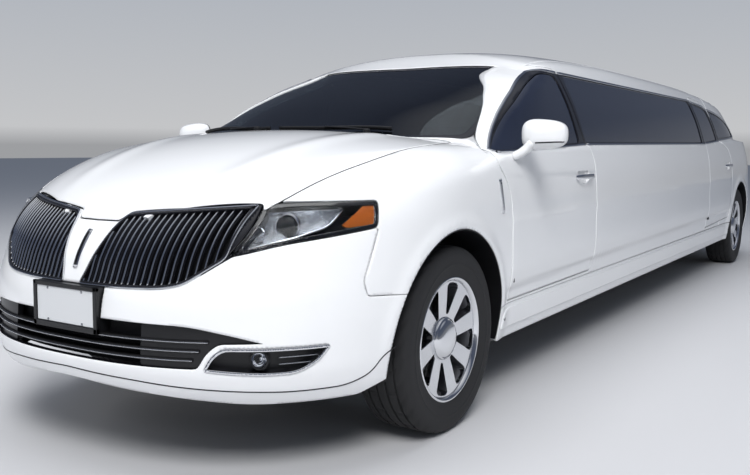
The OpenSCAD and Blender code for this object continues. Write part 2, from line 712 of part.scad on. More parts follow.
module rear_right_tyre() tyre(-1, rear_y);
module front_left_rim() rim(1, front_y);
module front_right_rim() rim(-1, front_y);
module rear_left_rim() rim(1, rear_y);
module rear_right_rim() rim(-1, rear_y);

// ---- Chassis ------------------------------------------------------------------------

arm_z = 205;
stud_r = 12;
module left_knuckle() color(metal) difference() {
    union() {
        translate([track_x - 60, front_y, axle_z]) rotate([0, 90, 0]) cylinder(r = spindle_r, h = 90);
        translate([track_x - 60, front_y, axle_z]) rotate([0, 90, 0]) cylinder(r = 60, h = 30);
        box([kingpin_x - 25, front_y - 45, arm_z + 35], [track_x - 30, front_y + 45, axle_z + 100]);
    }
    translate([kingpin_x, front_y, arm_z]) cylinder(r = stud_r + running_fit, h = 80);
}
module right_knuckle() mirror([1, 0, 0]) left_knuckle();
rail_x = [390, 450];
rail_z = [385, 475];
firewall_y = front(470);
floor_x = look(side_profile, 272) + wider - 50 - pane_fit;
pads = [for (x = [-800, 800], y = [front(700), rear(-700)]) [x, y]];
boot_z = 430;
module floor_pan() color(black) {
    box([-floor_x, firewall_y, floor_z - floor_t], [floor_x, rear(-470), floor_z]);
    box([-490, rear(-471), floor_z - floor_t], [490, rear(-120), floor_z]);
    box([-490, rear(-160), floor_z - floor_t], [490, rear(-120), boot_z + floor_t]);
    box([-490, rear(-121), boot_z], [490, rear(1060), boot_z + floor_t]);
    box([-floor_x + 10, firewall_y, floor_z - 1], [floor_x - 10, firewall_y + 30, 880]);
    both_sides() {
        box([rail_x[0], front(-880), rail_z[0]], [rail_x[1], firewall_y + 1, rail_z[1]]);
    }
    box([-600, rear(-1000), floor_z - floor_t - 110], [-80, rear(-520), floor_z - floor_t + 1]);
    for (p = pads) translate([p[0], p[1], floor_z - floor_t - 25]) cylinder(r = 35, h = 26);
}
module front_subframe() color(black) {
    box([-470, front(-110), 215], [470, front(110), 270]);
    both_sides() {
        box([395, front(-90), 269], [445, front(90), rail_z[0] - pane_fit]);
        box([460, front(-35), arm_z], [kingpin_x + 20, front(35), arm_z + 24]);
        box([460, front(-35), arm_z], [470, front(35), 230]);
        translate([kingpin_x, front_y, arm_z]) cylinder(r = stud_r, h = 75);
    }
}
module rear_axle() color(black) {
    translate([0, rear_y, axle_z]) rotate([0, 90, 0]) cylinder(r = 42, h = 2 * (track_x - 62), center = true);
    both_sides() {
        translate([track_x - 63, rear_y, axle_z]) rotate([0, 90, 0]) cylinder(r = spindle_r, h = 93);
        box([380, rear(-40), axle_z], [440, rear(40), boot_z - pane_fit]);
    }
}
module engine_block() color("gray") {
    box([-330, front(-380), 340], [330, front(120), 860]);
    for (x = [-250, 250]) translate([x, front(0), 270 + pane_fit]) cylinder(r = 40, h = 71);
}
module exhaust() color(metal) {
    pipe_z = floor_z - floor_t - 32 - pane_fit;
    translate([250, front(490), pipe_z]) rotate([-90, 0, 0]) cylinder(r = 32, h = wheelbase - 1000);
    translate([250, rear(-1900), pipe_z]) rotate([-90, 0, 0]) cylinder(r = 32, h = 20);
}

// ---- Cabin ------------------------------------------------------------------------

dash_y = firewall_y + 30 + pane_fit;
module dashboard() color(black) {
    box([-740, dash_y, 700], [740, dash_y + 290, 960]);
    translate([380, dash_y + 280, 880]) rotate([-65, 0, 0]) {
        translate([0, 0, -20]) cylinder(r = 22, h = 130);
        translate([0, 0, 105]) {
            rotate_extrude() translate([178, 0]) circle(r = 15, $fn = 24);
            box([-176, -14, -8], [176, 14, 10]);
        }
    }
}
module seat(w) {
    box([-w / 2, 0, floor_z + pane_fit], [w / 2, 520, floor_z + seat_h]);
    translate([0, 500, floor_z + seat_h - 60]) rotate([-14, 0, 0]) box([-w / 2 + 10, 0, 0], [w / 2 - 10, 120, 640]);
}
partition_y = front(1760);
lounge_y = partition_y + 700;
module cabin_furniture() color([0.2, 0.19, 0.2]) {
    for (x = [-380, 380]) translate([x, front(980), 0]) seat(520);
    box([-770, partition_y, floor_z + pane_fit], [770, partition_y + 40, 1250]);
    box([-830, lounge_y, floor_z + pane_fit], [-330, rear(-1500), floor_z + seat_h]);
    box([-830, lounge_y, floor_z + seat_h - 1], [-700, rear(-1500), 900]);
    box([480, lounge_y, floor_z + pane_fit], [800, rear(-2200), 880]);
    translate([0, rear(-700), 0]) seat(1000);
}

floor_pan();
wheel_liners();
rocker_panels();
front_bumper();
grilles();
lamps();
front_plate();
front_fenders();
cowl_panel();
windshield();
roof();
body_sides();
fixed_side_glass();
quarter_panels();
rear_bumper();
dashboard();
cabin_furniture();
engine_block();
front_subframe();
rear_axle();
exhaust();
hinges();
hood();
liftgate();
rear_glass();
left_front_door();
right_front_door();
left_rear_door();
right_rear_door();
left_front_door_glass();
right_front_door_glass();
left_rear_door_glass();
right_rear_door_glass();
left_mirror();
right_mirror();
left_knuckle();
right_knuckle();
front_left_tyre();
front_right_tyre();
rear_left_tyre();
rear_right_tyre();
front_left_rim();
front_right_rim();
rear_left_rim();
rear_right_rim();
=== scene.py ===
"""Looks for the stretch limousine: smooth panels, glass, lamps, grille, wheels and a studio."""
import json
import math

import bmesh
import bpy
import numpy as np
from mathutils import Matrix
from mathutils.geometry import delaunay_2d_cdt

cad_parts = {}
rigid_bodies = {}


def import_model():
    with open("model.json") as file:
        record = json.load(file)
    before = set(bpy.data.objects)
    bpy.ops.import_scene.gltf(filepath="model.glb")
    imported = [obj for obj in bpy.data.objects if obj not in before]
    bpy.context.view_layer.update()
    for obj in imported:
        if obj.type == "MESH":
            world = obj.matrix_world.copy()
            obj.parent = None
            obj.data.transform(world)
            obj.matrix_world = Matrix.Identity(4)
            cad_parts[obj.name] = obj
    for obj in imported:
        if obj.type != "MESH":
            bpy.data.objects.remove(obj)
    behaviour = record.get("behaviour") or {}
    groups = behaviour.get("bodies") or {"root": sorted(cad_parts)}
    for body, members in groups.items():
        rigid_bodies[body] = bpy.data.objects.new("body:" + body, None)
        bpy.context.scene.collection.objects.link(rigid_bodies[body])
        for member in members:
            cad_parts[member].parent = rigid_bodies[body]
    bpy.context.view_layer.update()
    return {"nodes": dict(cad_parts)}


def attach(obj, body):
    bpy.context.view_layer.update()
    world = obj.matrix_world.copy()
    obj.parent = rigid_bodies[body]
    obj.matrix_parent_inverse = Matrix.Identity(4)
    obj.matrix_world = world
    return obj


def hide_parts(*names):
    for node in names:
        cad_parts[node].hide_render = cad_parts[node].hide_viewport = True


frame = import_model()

# ---- Sizes, in millimetres, as in the CAD ------------------------------------------

LENGTH = 8321.0
NOSE = -LENGTH / 2
TAIL = LENGTH / 2
FRONT_Y = NOSE + 1080
REAR_Y = FRONT_Y + 6043
AXLE_Z = 370.5


def F(d):
    """A station behind the front axle."""
    return FRONT_Y + d


def R(d):
    """A station behind the rear axle."""
    return REAR_Y + d


# ---- The body's surface --------------------------------------------------------------


def curve(table):
    """A smooth monotone curve through a table's points, level beyond its ends."""
    t = np.array(table, float)
    x, y = t[:, 0], t[:, 1]
    h = np.diff(x)
    d = np.diff(y) / h
    m = np.zeros(len(x))
    m[0], m[-1] = d[0], d[-1]
    for i in range(1, len(x) - 1):
        if d[i - 1] * d[i] > 0:
            a, b = 2 * h[i] + h[i - 1], h[i] + 2 * h[i - 1]
            m[i] = (a + b) / (a / d[i - 1] + b / d[i])

    def value(v):
        v = np.clip(v, x[0], x[-1])
        i = np.clip(np.searchsorted(x, v, side="right") - 1, 0, len(h) - 1)
        s = (v - x[i]) / h[i]
        rise = (1 + 2 * s) * (1 - s) ** 2 * y[i] + s * s * (3 - 2 * s) * y[i + 1]
        return rise + s * (1 - s) * h[i] * ((1 - s) * m[i] - s * m[i + 1])

    return value


def ramp(v, a, b):
    """0 at a, 1 at b, smooth between."""
    s = np.clip((v - a) / (b - a), 0, 1)
    return s * s * (3 - 2 * s)


side_w = curve([(180, 880), (260, 922), (340, 938), (440, 948), (560, 959), (700, 965),
                (850, 963), (1000, 953), (1100, 934), (1240, 900)])
nose_y = curve([(180, NOSE + 200), (260, NOSE + 70), (340, NOSE + 14), (400, NOSE), (500, NOSE + 5),
                (600, NOSE + 17), (700, NOSE + 52), (800, NOSE + 88), (870, NOSE + 122),
                (950, NOSE + 195), (1100, NOSE + 400)])
tail_y = curve([(180, TAIL - 180), (260, TAIL - 90), (360, TAIL - 20), (480, TAIL - 1), (640, TAIL - 8),
                (760, TAIL - 60), (900, TAIL - 95), (1050, TAIL - 120), (1180, TAIL - 150),
                (1240, TAIL - 180)])
belt_z = curve([(F(-1100), 1080), (F(450), 1112), (F(1500), 1138), (R(-1900), 1165), (R(-900), 1190),
                (R(200), 1215), (R(1200), 1215)])
roof_top = curve([(F(300), 1420), (F(1100), 1565), (F(1200), 1592), (F(1350), 1640), (F(1600), 1676),
                  (F(2000), 1696), (F(2700), 1710), (R(-2600), 1711), (R(-1600), 1704), (R(-800), 1676),
                  (R(-200), 1636), (R(400), 1578), (R(800), 1520), (R(1200), 1450)])
green_w = curve([(1000, 950), (1080, 932), (1120, 915), (1200, 895), (1350, 848), (1450, 805),
                 (1550, 755), (1620, 712), (1720, 630)])
screen_y = curve([(1000, F(-360)), (1100, F(-95)), (1160, F(85)), (1350, F(585)), (1550, F(1133)),
                  (1720, F(1600))])
screen_b = curve([(1000, 1100), (1160, 1080), (1350, 640), (1550, 320), (1720, 320)])
green_tail = curve([(1000, R(1120)), (1180, R(1040)), (1300, R(960)), (1440, R(850)), (1560, R(730)),
                    (1720, R(500))])


def loop_out(x, y, w, y0, b0, p0, y1, b1, p1):
    """How far a point lies outside a level plan outline, roughly."""
    a = np.abs(x) / w
    u0 = np.clip((y0 + b0 - y) / b0, 0, None)
    u1 = np.clip((y - y1 + b1) / b1, 0, None)
    front = (a ** p0 + u0 ** p0) ** (1 / p0)
    rear = (a ** p1 + u1 ** p1) ** (1 / p1)
    return (np.maximum(front, rear) - 1) * w


def blend_max(a, b, k):
    h = np.maximum(k - np.abs(a - b), 0) / k
    return np.maximum(a, b) + h * h * k / 4


def hood_z(y):
    s = np.clip((y - F(-1000)) / 1330, 0, 1)
    return 838 + 365 * (1 - (1 - s) ** 2.4)


def crease_z(y):
    """The crease low on the doors rises towards the rear."""
    return 512 + 58 * (y - FRONT_Y) / 6043


def line_z(y):
    """The soft line along the middle of the sides."""
    return 796 + 66 * (y - FRONT_Y) / 6043


def relief(y, z):
    """How far the sides stand out from the plain surface: wheel arch lips, body line and lower crease."""
    out = 0
    for c in (FRONT_Y, REAR_Y):
        r = np.hypot(y - c, z - AXLE_Z - 6)
        out = out + 9 * np.exp(-((r - 446) / 34) ** 2) * ramp(z, 330, 480)
    between = ramp(y, F(430), F(560)) * (1 - ramp(y, R(-560), R(-430)))
    low = crease_z(y) - z
    out = out - between * (13 * ramp(low, -6, 26) - 5 * ramp(-low, 0, 70) * (1 - ramp(-low, 70, 200)))
    up = z - line_z(y)
    out = out + between * 5 * np.exp(-np.abs(up) / 26)
    return out


def outside(p):
    """Below zero inside the body, above zero outside it; p is N points."""
    x, y, z = p[:, 0], p[:, 1], p[:, 2]
    a = loop_out(x, y, side_w(z), nose_y(z), 1000, 2.5, tail_y(z), 900, 2.9)
    a = a - relief(y, z) * ramp(np.abs(x), 650, 850)
    hood = hood_z(y) - 85 * (np.abs(x) / 900) ** 2.2
    # two soft folds run back along the hood
    fold = np.abs(x) - (330 + 0.16 * (y - F(-900)))
    hood = hood + 7 * np.exp(-(fold / 60) ** 2) * ramp(y, F(-950), F(-600)) * (1 - ramp(y, F(60), F(300)))
    shelf = np.maximum(belt_z(y), hood - (y - F(330)) * 0.6)
    deck = np.where(y < F(330), hood, shelf)
    k = 120 - 100 * ramp(y, F(150), F(560))
    lower = blend_max(a, z - deck, k)
    c = loop_out(x, y, green_w(z), screen_y(z), screen_b(z), 3.2, green_tail(z), 1500, 2.6)
    c = c + np.clip(1000 - z, 0, None) * 0.5
    top = roof_top(y) - 150 * (np.abs(x) / 900) ** 2.6
    upper = blend_max(c, z - top, 40)
    return -blend_max(-lower, -upper, 8)


def reach(origin, way, near, far):
    """Where rays from inside the body leave it, as distances along the rays."""
    lo = np.full(len(origin), float(near))
    hi = np.full(len(origin), float(far))
    for _ in range(26):
        mid = (lo + hi) / 2
        inside = outside(origin + way * mid[:, None]) < 0
        lo = np.where(inside, mid, lo)
        hi = np.where(inside, hi, mid)
    return (lo + hi) / 2


def normals(p):
    e = 1.5
    g = np.zeros_like(p)
    for i in range(3):
        d = np.zeros(3)
        d[i] = e
        g[:, i] = outside(p + d) - outside(p - d)
    return g / np.maximum(np.linalg.norm(g, axis=1), 1e-9)[:, None]


class Seen:
    """A flat map of part of the surface. solid() goes from map to surface, flat() goes back."""

    def __init__(self, kind, at=(0, 0), sign=1, radius=900):
        self.kind, self.at, self.sign, self.radius = kind, at, sign, radius

    def rays(self, m):
        u, v = m[:, 0], m[:, 1]
        zero, one = np.zeros(len(u)), np.ones(len(u))
        k, a = self.kind, self.at
        if k == "side":
            return np.stack([zero, u, v], 1), np.stack([one * self.sign, zero, zero], 1), 300, 1100
        if k == "top":
            return np.stack([u, v, zero + 500], 1), np.stack([zero, zero, one], 1), 0, 1400
        if k == "front":
            return np.stack([u, zero + F(100), v], 1), np.stack([zero, -one, zero], 1), 0, 1300
        if k == "rear":
            return np.stack([u, zero + R(-200), v], 1), np.stack([zero, one, zero], 1), 0, 1500
        if k == "round":
            t = u / self.radius
            way = np.stack([np.sin(t), -np.cos(t) * self.sign, zero], 1)
            return np.stack([zero, zero + a[0], v], 1), way, 200, 2600
        if k == "ring":
            t = u / self.radius
            return np.stack([zero, v, zero + a[0]], 1), np.stack([np.sin(t), zero, np.cos(t)], 1), 150, 1700
        t = u / self.radius
        way = np.stack([zero, np.cos(t), np.sin(t)], 1)
        return np.stack([v, zero + a[0], zero + a[1]], 1), way, 20, 1600

    def solid(self, m):
        m = np.asarray(m, float)
        o, w, near, far = self.rays(m)
        return o + w * reach(o, w, near, far)[:, None]

    def flat(self, p):
        x, y, z = p[:, 0], p[:, 1], p[:, 2]
        k, a = self.kind, self.at
        if k == "side":
            return np.stack([y, z], 1)
        if k == "top":
            return np.stack([x, y], 1)
        if k in ("front", "rear"):
            return np.stack([x, z], 1)
        if k == "round":
            return np.stack([np.arctan2(x, -(y - a[0]) * self.sign) * self.radius, z], 1)
        if k == "ring":
            return np.stack([np.arctan2(x, z - a[0]) * self.radius, y], 1)
        return np.stack([np.arctan2(z - a[1], y - a[0]) * self.radius, x], 1)


SIDE = Seen("side")
TOP = Seen("top")
AHEAD = Seen("front")
BEHIND = Seen("rear")


# ---- Outlines ---------------------------------------------------------------------------


def rounded(points, r=12, step=14, closed=True):
    """A dense outline with rounded corners; a point may carry a radius of its own."""
    n = len(points)
    xy = np.array([q[:2] for q in points], float)
    out = []
    for i in range(n):
        b = xy[i]
        if not closed and i in (0, n - 1):
            out.append(b)
            continue
        a, c = xy[i - 1], xy[(i + 1) % n]
        rr = points[i][2] if len(points[i]) > 2 else r
        la, lc = np.linalg.norm(a - b), np.linalg.norm(c - b)
        q = min(rr, 0.48 * la, 0.48 * lc)
        s, e = b + (a - b) / la * q, b + (c - b) / lc * q
        m = max(3, int(q / 5))
        for k in range(m + 1):
            t = k / m
            out.append((1 - t) ** 2 * s + 2 * t * (1 - t) * b + t * t * e)
    dense = []
    m = len(out)
    for i in range(m if closed else m - 1):
        a, b = out[i], out[(i + 1) % m]
        k = max(1, int(np.linalg.norm(b - a) / step))
        for j in range(k):
            dense.append(a + (b - a) * j / k)
    if not closed:
        dense.append(out[-1])
    return np.array(dense)


def grow(p, d):
    """A dense outline moved outwards by d."""
    area = np.sum(p[:, 0] * np.roll(p[:, 1], -1) - np.roll(p[:, 0], -1) * p[:, 1])
    t = np.roll(p, -1, 0) - np.roll(p, 1, 0)
    t = t / np.maximum(np.linalg.norm(t, axis=1), 1e-9)[:, None]
    return p + np.stack([t[:, 1], -t[:, 0]], 1) * d * (1 if area > 0 else -1)


def mirrored(half):
    """A whole outline from its right half, which starts and ends on the middle line."""
    return list(half) + [(-q[0],) + tuple(q[1:]) for q in reversed(half) if q[0] > 0]


def within(p, poly):
    """Which points lie inside a closed outline."""
    x, y = p[:, 0][:, None], p[:, 1][:, None]
    x0, y0 = poly[:, 0][None], poly[:, 1][None]
    x1, y1 = np.roll(poly[:, 0], -1)[None], np.roll(poly[:, 1], -1)[None]
    inside = np.zeros(len(p), bool)
    for i in range(0, len(p), 4000):
        s = slice(i, i + 4000)
        cross = (y0 > y[s]) != (y1 > y[s])
        at = (x1 - x0) * (y[s] - y0) / np.where(y1 == y0, 1e-9, y1 - y0) + x0
        inside[s] = np.sum(cross & (x[s] < at), axis=1) % 2 == 1
    return inside


def nearest(p, a, b):
    """Distance from each point to the nearest of the segments a-b, and the vector to it."""
    best = np.full(len(p), 1e9)
    vec = np.zeros((len(p), 2))
    ab = b - a
    ll = np.maximum(np.sum(ab * ab, axis=1), 1e-9)
    for i in range(0, len(p), 1500):
        s = slice(i, i + 1500)
        ap = p[s][:, None] - a[None]
        t = np.clip(np.sum(ap * ab[None], axis=2) / ll[None], 0, 1)
        v = ab[None] * t[:, :, None] - ap
        d = np.linalg.norm(v, axis=2)
        j = np.argmin(d, axis=1)
        k = np.arange(len(j))
        best[s] = d[k, j]
        vec[s] = v[k, j]
    return best, vec


def triangles(points, segments):
    verts, _, faces, *_ = delaunay_2d_cdt([tuple(q) for q in points], segments, [], 0, 1e-4)
    return np.array([tuple(v) for v in verts]), np.array([f for f in faces if len(f) == 3])


def chain(loops):
    points, segments = [], []
    for loop in loops:
        n, k = len(points), len(loop)
        points.extend(loop)
        segments.extend((n + i, n + (i + 1) % k) for i in range(k))
    return points, segments


def keep(v, f, inside, outside_of):
    c = v[f].mean(axis=1)
    a, b, d = v[f[:, 0]], v[f[:, 1]], v[f[:, 2]]
    area = (b[:, 0] - a[:, 0]) * (d[:, 1] - a[:, 1]) - (b[:, 1] - a[:, 1]) * (d[:, 0] - a[:, 0])
    ok = within(c, inside) & (np.abs(area) > 1e-3)
    for loop in outside_of:
        ok &= ~within(c, loop)
    f = f[ok]
    f[area[ok] < 0] = f[area[ok] < 0][:, ::-1]
    return f


def rim_of(f):
    """Directed edges that belong to one triangle only."""
    e = np.concatenate([f[:, [0, 1]], f[:, [1, 2]], f[:, [2, 0]]])
    pairs = {}
    for a, b in e.tolist():
        pairs[(a, b)] = 1
    return np.array([(a, b) for a, b in pairs if (b, a) not in pairs])


def finer(loop, step):
    out = []
    for i in range(len(loop)):
        a, b = loop[i], loop[(i + 1) % len(loop)]
        n = max(1, int(np.linalg.norm(b - a) / step))
        out.extend(a + (b - a) * j / n for j in range(n))
    return out


# ---- Materials -------------------------------------------------------------------------


def material(name, color, rough=0.5, metal=0.0, **more):
    m = bpy.data.materials.new(name)
    m.use_nodes = True
    b = m.node_tree.nodes["Principled BSDF"]
    b.inputs["Base Color"].default_value = (*color, 1)
    b.inputs["Roughness"].default_value = rough
    b.inputs["Metallic"].default_value = metal
    for key, value in more.items():
        b.inputs[key.replace("_", " ")].default_value = value
    return m


PAINT = material("white_paint", (0.80, 0.805, 0.81), 0.32, Coat_Weight=1.0, Coat_Roughness=0.04)
TRIM = material("black_trim", (0.012, 0.012, 0.013), 0.42)
GLOSS = material("gloss_black", (0.006, 0.006, 0.008), 0.12, Coat_Weight=0.6)
LINING = material("cabin_lining", (0.05, 0.048, 0.047), 0.8)
# near-black matte sheet material: painted shade that stands in for the darkness inside the grille and intake
# openings
CAVITY_SHADE = material("painted_cavity_shade", (0.008, 0.008, 0.009), 0.9)
TINT = material("tinted_glass", (0.012, 0.016, 0.030), 0.03, Coat_Weight=1.0, Coat_Roughness=0.0, IOR=1.52)
SCREEN = material("windshield_glass", (0.16, 0.19, 0.21), 0.0, Transmission_Weight=1.0, IOR=1.45)
CLEAR = material("clear_lens", (0.93, 0.95, 0.97), 0.0, Transmission_Weight=1.0, IOR=1.2)
CHROME = material("chrome", (0.80, 0.81, 0.83), 0.07, 1.0)
SATIN = material("satin_chrome", (0.55, 0.56, 0.58), 0.25, 1.0)
ALLOY = material("polished_alloy", (0.74, 0.75, 0.77), 0.16, 1.0)
BARREL = material("wheel_barrel", (0.16, 0.16, 0.17), 0.45, 0.8)
RUBBER = material("tyre_rubber", (0.018, 0.018, 0.019), 0.75)
AMBER = material("amber_lens", (0.42, 0.10, 0.012), 0.15, Coat_Weight=0.6)
SOOT = material("satin_black", (0.007, 0.007, 0.008), 0.34)
MIRROR = material("mirror_glass", (0.75, 0.77, 0.80), 0.01, 1.0)
CARPET = material("dark_carpet", (0.020, 0.019, 0.019), 0.95)
SHINE = material("lamp_reflector", (0.86, 0.87, 0.89), 0.12, 1.0)
crumple = SHINE.node_tree.nodes.new("ShaderNodeTexVoronoi")
crumple.inputs["Scale"].default_value = 55
rough_up = SHINE.node_tree.nodes.new("ShaderNodeBump")
rough_up.inputs["Strength"].default_value = 0.55
rough_up.inputs["Distance"].default_value = 0.01
SHINE.node_tree.links.new(crumple.outputs["Distance"], rough_up.inputs["Height"])
SHINE.node_tree.links.new(rough_up.outputs["Normal"],
                          SHINE.node_tree.nodes["Principled BSDF"].inputs["Normal"])
RED = material("red_lens", (0.45, 0.01, 0.015), 0.10, Coat_Weight=1.0)
LEATHER = material("black_leather", (0.028, 0.026, 0.026), 0.45)
STEEL = material("chassis_steel", (0.06, 0.06, 0.062), 0.55, 0.6)
IRON = material("cast_iron", (0.12, 0.115, 0.11), 0.6, 0.8)
BRAKE = material("brake_disc", (0.32, 0.32, 0.33), 0.35, 0.9)
PLATE = material("blank_plate", (0.62, 0.63, 0.64), 0.4)
WOOD = material("dark_wood", (0.07, 0.03, 0.015), 0.25, Coat_Weight=0.7)

made = {}


def mesh(name, verts, faces, mats, which=None, vertex_normals=None, smooth=True):
    """A mesh object from points in millimetres."""
    m = bpy.data.meshes.new(name)
    m.from_pydata((np.asarray(verts, float) * 0.001).tolist(), [], [list(map(int, f)) for f in faces])
    for x in mats if isinstance(mats, (list, tuple)) else [mats]:
        m.materials.append(x)
    if which is not None:
        m.polygons.foreach_set("material_index", np.asarray(which, np.int32))
    m.polygons.foreach_set("use_smooth", [smooth] * len(m.polygons))
    m.update()
    if vertex_normals is not None:
        m.normals_split_custom_set_from_vertices(np.asarray(vertex_normals).tolist())
    o = bpy.data.objects.new(name, m)
    bpy.context.collection.objects.link(o)
    made[name] = o
    return o


def mirror(o, name):
    """The same piece on the other side of the car."""
    m = o.data.copy()
    n = len(m.vertices)
    co = np.zeros(n * 3, np.float32)
    m.vertices.foreach_get("co", co)
    co = co.reshape(-1, 3)
    co[:, 0] *= -1
    nor = np.zeros(len(m.loops) * 3, np.float32)
    m.corner_normals.foreach_get("vector", nor)
    nor = nor.reshape(-1, 3)
    vi = np.zeros(len(m.loops), np.int32)
    m.loops.foreach_get("vertex_index", vi)
    per = np.zeros((n, 3), np.float32)
    np.add.at(per, vi, nor)
    per[:, 0] *= -1
    per /= np.maximum(np.linalg.norm(per, axis=1), 1e-9)[:, None]
    m.vertices.foreach_set("co", co.ravel())
    m.flip_normals()
    m.update()
    m.normals_split_custom_set_from_vertices(per.tolist())
    p = bpy.data.objects.new(name, m)
    bpy.context.collection.objects.link(p)
    made[name] = p
    return p


EDGE = 4.0
DROP = 2.2


def panel(name, view, inside, cuts=(), grid=26, thick=28, lift=0.0, mats=(PAINT, TRIM), edge=EDGE,
          drop=DROP, zones=(), wall_kind=0, dark_walls=(), dark=2):
    """A curved panel with rolled edges, cut out of the body's surface; outlines use the map's units."""
    p, s = chain([inside] + list(cuts))
    v, f = triangles(p, s)
    f = keep(v, f, inside, cuts)
    rim = rim_of(f)
    a, b = v[rim[:, 0]], v[rim[:, 1]]
    # boundary points again, closer together, then two rows inside them
    seg_pts, seg = [], []
    for q0, q1 in zip(a, b):
        n = max(1, int(np.linalg.norm(q1 - q0) / 12))
        i0 = len(seg_pts)
        seg_pts.extend(q0 + (q1 - q0) * j / n for j in range(n + 1))
        seg.extend((i0 + j, i0 + j + 1) for j in range(n))
    pts = [np.array(seg_pts)]
    t = b - a
    t = t / np.maximum(np.linalg.norm(t, axis=1), 1e-9)[:, None]
    side = np.stack([-t[:, 1], t[:, 0]], 1)
    for d in (edge * 0.3, edge, edge * 2.5):
        rows = []
        for q0, q1, w in zip(a, b, side):
            n = max(1, int(np.linalg.norm(q1 - q0) / 12))
            rows.extend(q0 + (q1 - q0) * (j + 0.5) / n + w * d for j in range(n))
        rows = np.array(rows)
        far, _ = nearest(rows, a, b)
        pts.append(rows[far > d * 0.93])
    lo, hi = v[np.unique(f)].min(0), v[np.unique(f)].max(0)
    gx = np.arange(lo[0] + grid * 0.4, hi[0], grid)
    gy = np.arange(lo[1] + grid * 0.4, hi[1], grid * 0.866)
    g = np.array([(x + (grid / 2 if j % 2 else 0), y) for j, y in enumerate(gy) for x in gx])
    ok = within(g, inside)
    for loop in cuts:
        ok &= ~within(g, loop)
    g = g[ok]
    far, _ = nearest(g, a, b)
    pts.append(g[far > edge * 2.5 + grid * 0.45])
    for loop, _ in zones:
        base = sum(len(q) for q in pts)
        dense = np.array(finer(loop, 12))
        inner_pts = within(dense, inside)
        pts.append(dense)
        k = len(dense)
        seg.extend((base + j,
                    base + (j + 1) % k) for j in range(k) if inner_pts[j] or inner_pts[(j + 1) % k])
    allp = np.concatenate(pts)
    v, f = triangles(allp, seg)
    f = keep(v, f, inside, cuts)
    used, back = np.unique(f, return_inverse=True)
    v, f = v[used], back.reshape(-1, 3)
    rim = rim_of(f)
    surf = view.solid(v)
    n = normals(surf)
    far, vec = nearest(v, a, b)
    s = np.clip(1 - far / edge, 0, 1)
    # the way to the boundary, as a direction on the surface
    close = far < edge * 1.05
    out = np.zeros_like(surf)
    if close.any():
        ii = np.where(close)[0]
        away = vec[ii]
        on_rim = np.linalg.norm(away, axis=1) < 1e-3
        tt = b - a
        tt = tt / np.maximum(np.linalg.norm(tt, axis=1), 1e-9)[:, None]
        outward = np.stack([tt[:, 1], -tt[:, 0]], 1)
        if on_rim.any():
            q = v[ii[on_rim]]
            pick = [np.argmin(np.minimum(np.linalg.norm(a - w, axis=1) + np.linalg.norm(b - w, axis=1)
                                         - np.linalg.norm(b - a, axis=1), 1e9)) for w in q]
            away[on_rim] = outward[pick]
        away = away / np.maximum(np.linalg.norm(away, axis=1), 1e-9)[:, None]
        step = view.solid(v[ii] + away * 2.0)
        d3 = step - surf[ii]
        d3 = d3 - n[ii] * np.sum(d3 * n[ii], axis=1)[:, None]
        out[ii] = d3 / np.maximum(np.linalg.norm(d3, axis=1), 1e-9)[:, None]
    shown = surf + n * (lift - drop * s[:, None] ** 2)
    tilt = n + out * (1.3 * s[:, None] * (drop > 0))
    tilt = tilt / np.linalg.norm(tilt, axis=1)[:, None]
    # make faces look outwards
    e1, e2 = surf[f[:, 1]] - surf[f[:, 0]], surf[f[:, 2]] - surf[f[:, 0]]
    turned = np.sum(np.cross(e1, e2) * n[f[:, 0]]) < 0
    if turned:
        f = f[:, ::-1]
        rim = rim[:, ::-1]
    kind = np.zeros(len(f))
    middle = v[f].mean(axis=1)
    for loop, index in zones:
        kind[within(middle, loop)] = index
    k = len(v)
    inner = surf + n * (lift - thick)
    verts = [shown, inner]
    nor = [tilt, -n]
    faces = [f, f[:, ::-1] + k]
    which = [kind, np.ones(len(f))]
    wall, wall_mat = [], []
    count = 2 * k
    if len(rim):
        w0 = shown[rim[:, 0]], shown[rim[:, 1]], inner[rim[:, 1]], inner[rim[:, 0]]
        m = len(rim)
        along = w0[1] - w0[0]
        down = w0[3] - w0[0]
        wn = np.cross(down, along)
        wn = wn / np.maximum(np.linalg.norm(wn, axis=1), 1e-9)[:, None]
        verts.extend(w0)
        nor.extend([wn] * 4)
        i = np.arange(m) + count
        wall = np.stack([i, i + 3 * m, i + 2 * m, i + m], 1)
        wall_mat = np.full(m, wall_kind)
        half_way = (v[rim[:, 0]] + v[rim[:, 1]]) / 2
        for loop, index in zones:
            wall_mat[within(half_way, loop)] = index
        for loop in dark_walls:
            wall_mat[within(half_way, loop)] = dark
    vv, nn = np.concatenate(verts), np.concatenate(nor)
    ff = [tuple(q) for part in faces for q in part] + [tuple(q) for q in wall]
    ww = np.concatenate(which + [wall_mat])
    return mesh(name, vv, ff, mats, ww, nn)


def seen_from(view_a, view_b, outline):
    """An outline drawn in one view, mapped to another."""
    return view_b.flat(view_a.solid(outline))


# ---- Maps for the parts of the body ------------------------------------------------------

NOSE_MAP = Seen("round", at=(F(-450), 0), sign=1, radius=950)
TAIL_MAP = Seen("round", at=(R(250), 0), sign=-1, radius=950)
RING = Seen("ring", at=(700, 0), radius=800)
GATE_MAP = Seen("roll", at=(R(450), 900), radius=750)


def key(*points):
    """Surface points given as (view, a, b): A from ahead x, z; S from the side y, z; T from above x, y."""
    views = {"A": AHEAD, "S": SIDE, "T": TOP, "B": BEHIND}
    return np.concatenate([views[v].solid(np.array([[a, b]], float)) for v, a, b in points])


def flat_key(view, *points):
    return [tuple(q) for q in view.flat(key(*points))]


def both(points):
    """A closed outline across the middle from its left half, in a map whose first axis crosses the car."""
    return list(points) + [(-q[0],) + tuple(q[1:]) for q in reversed(points) if q[0] > 1e-6]


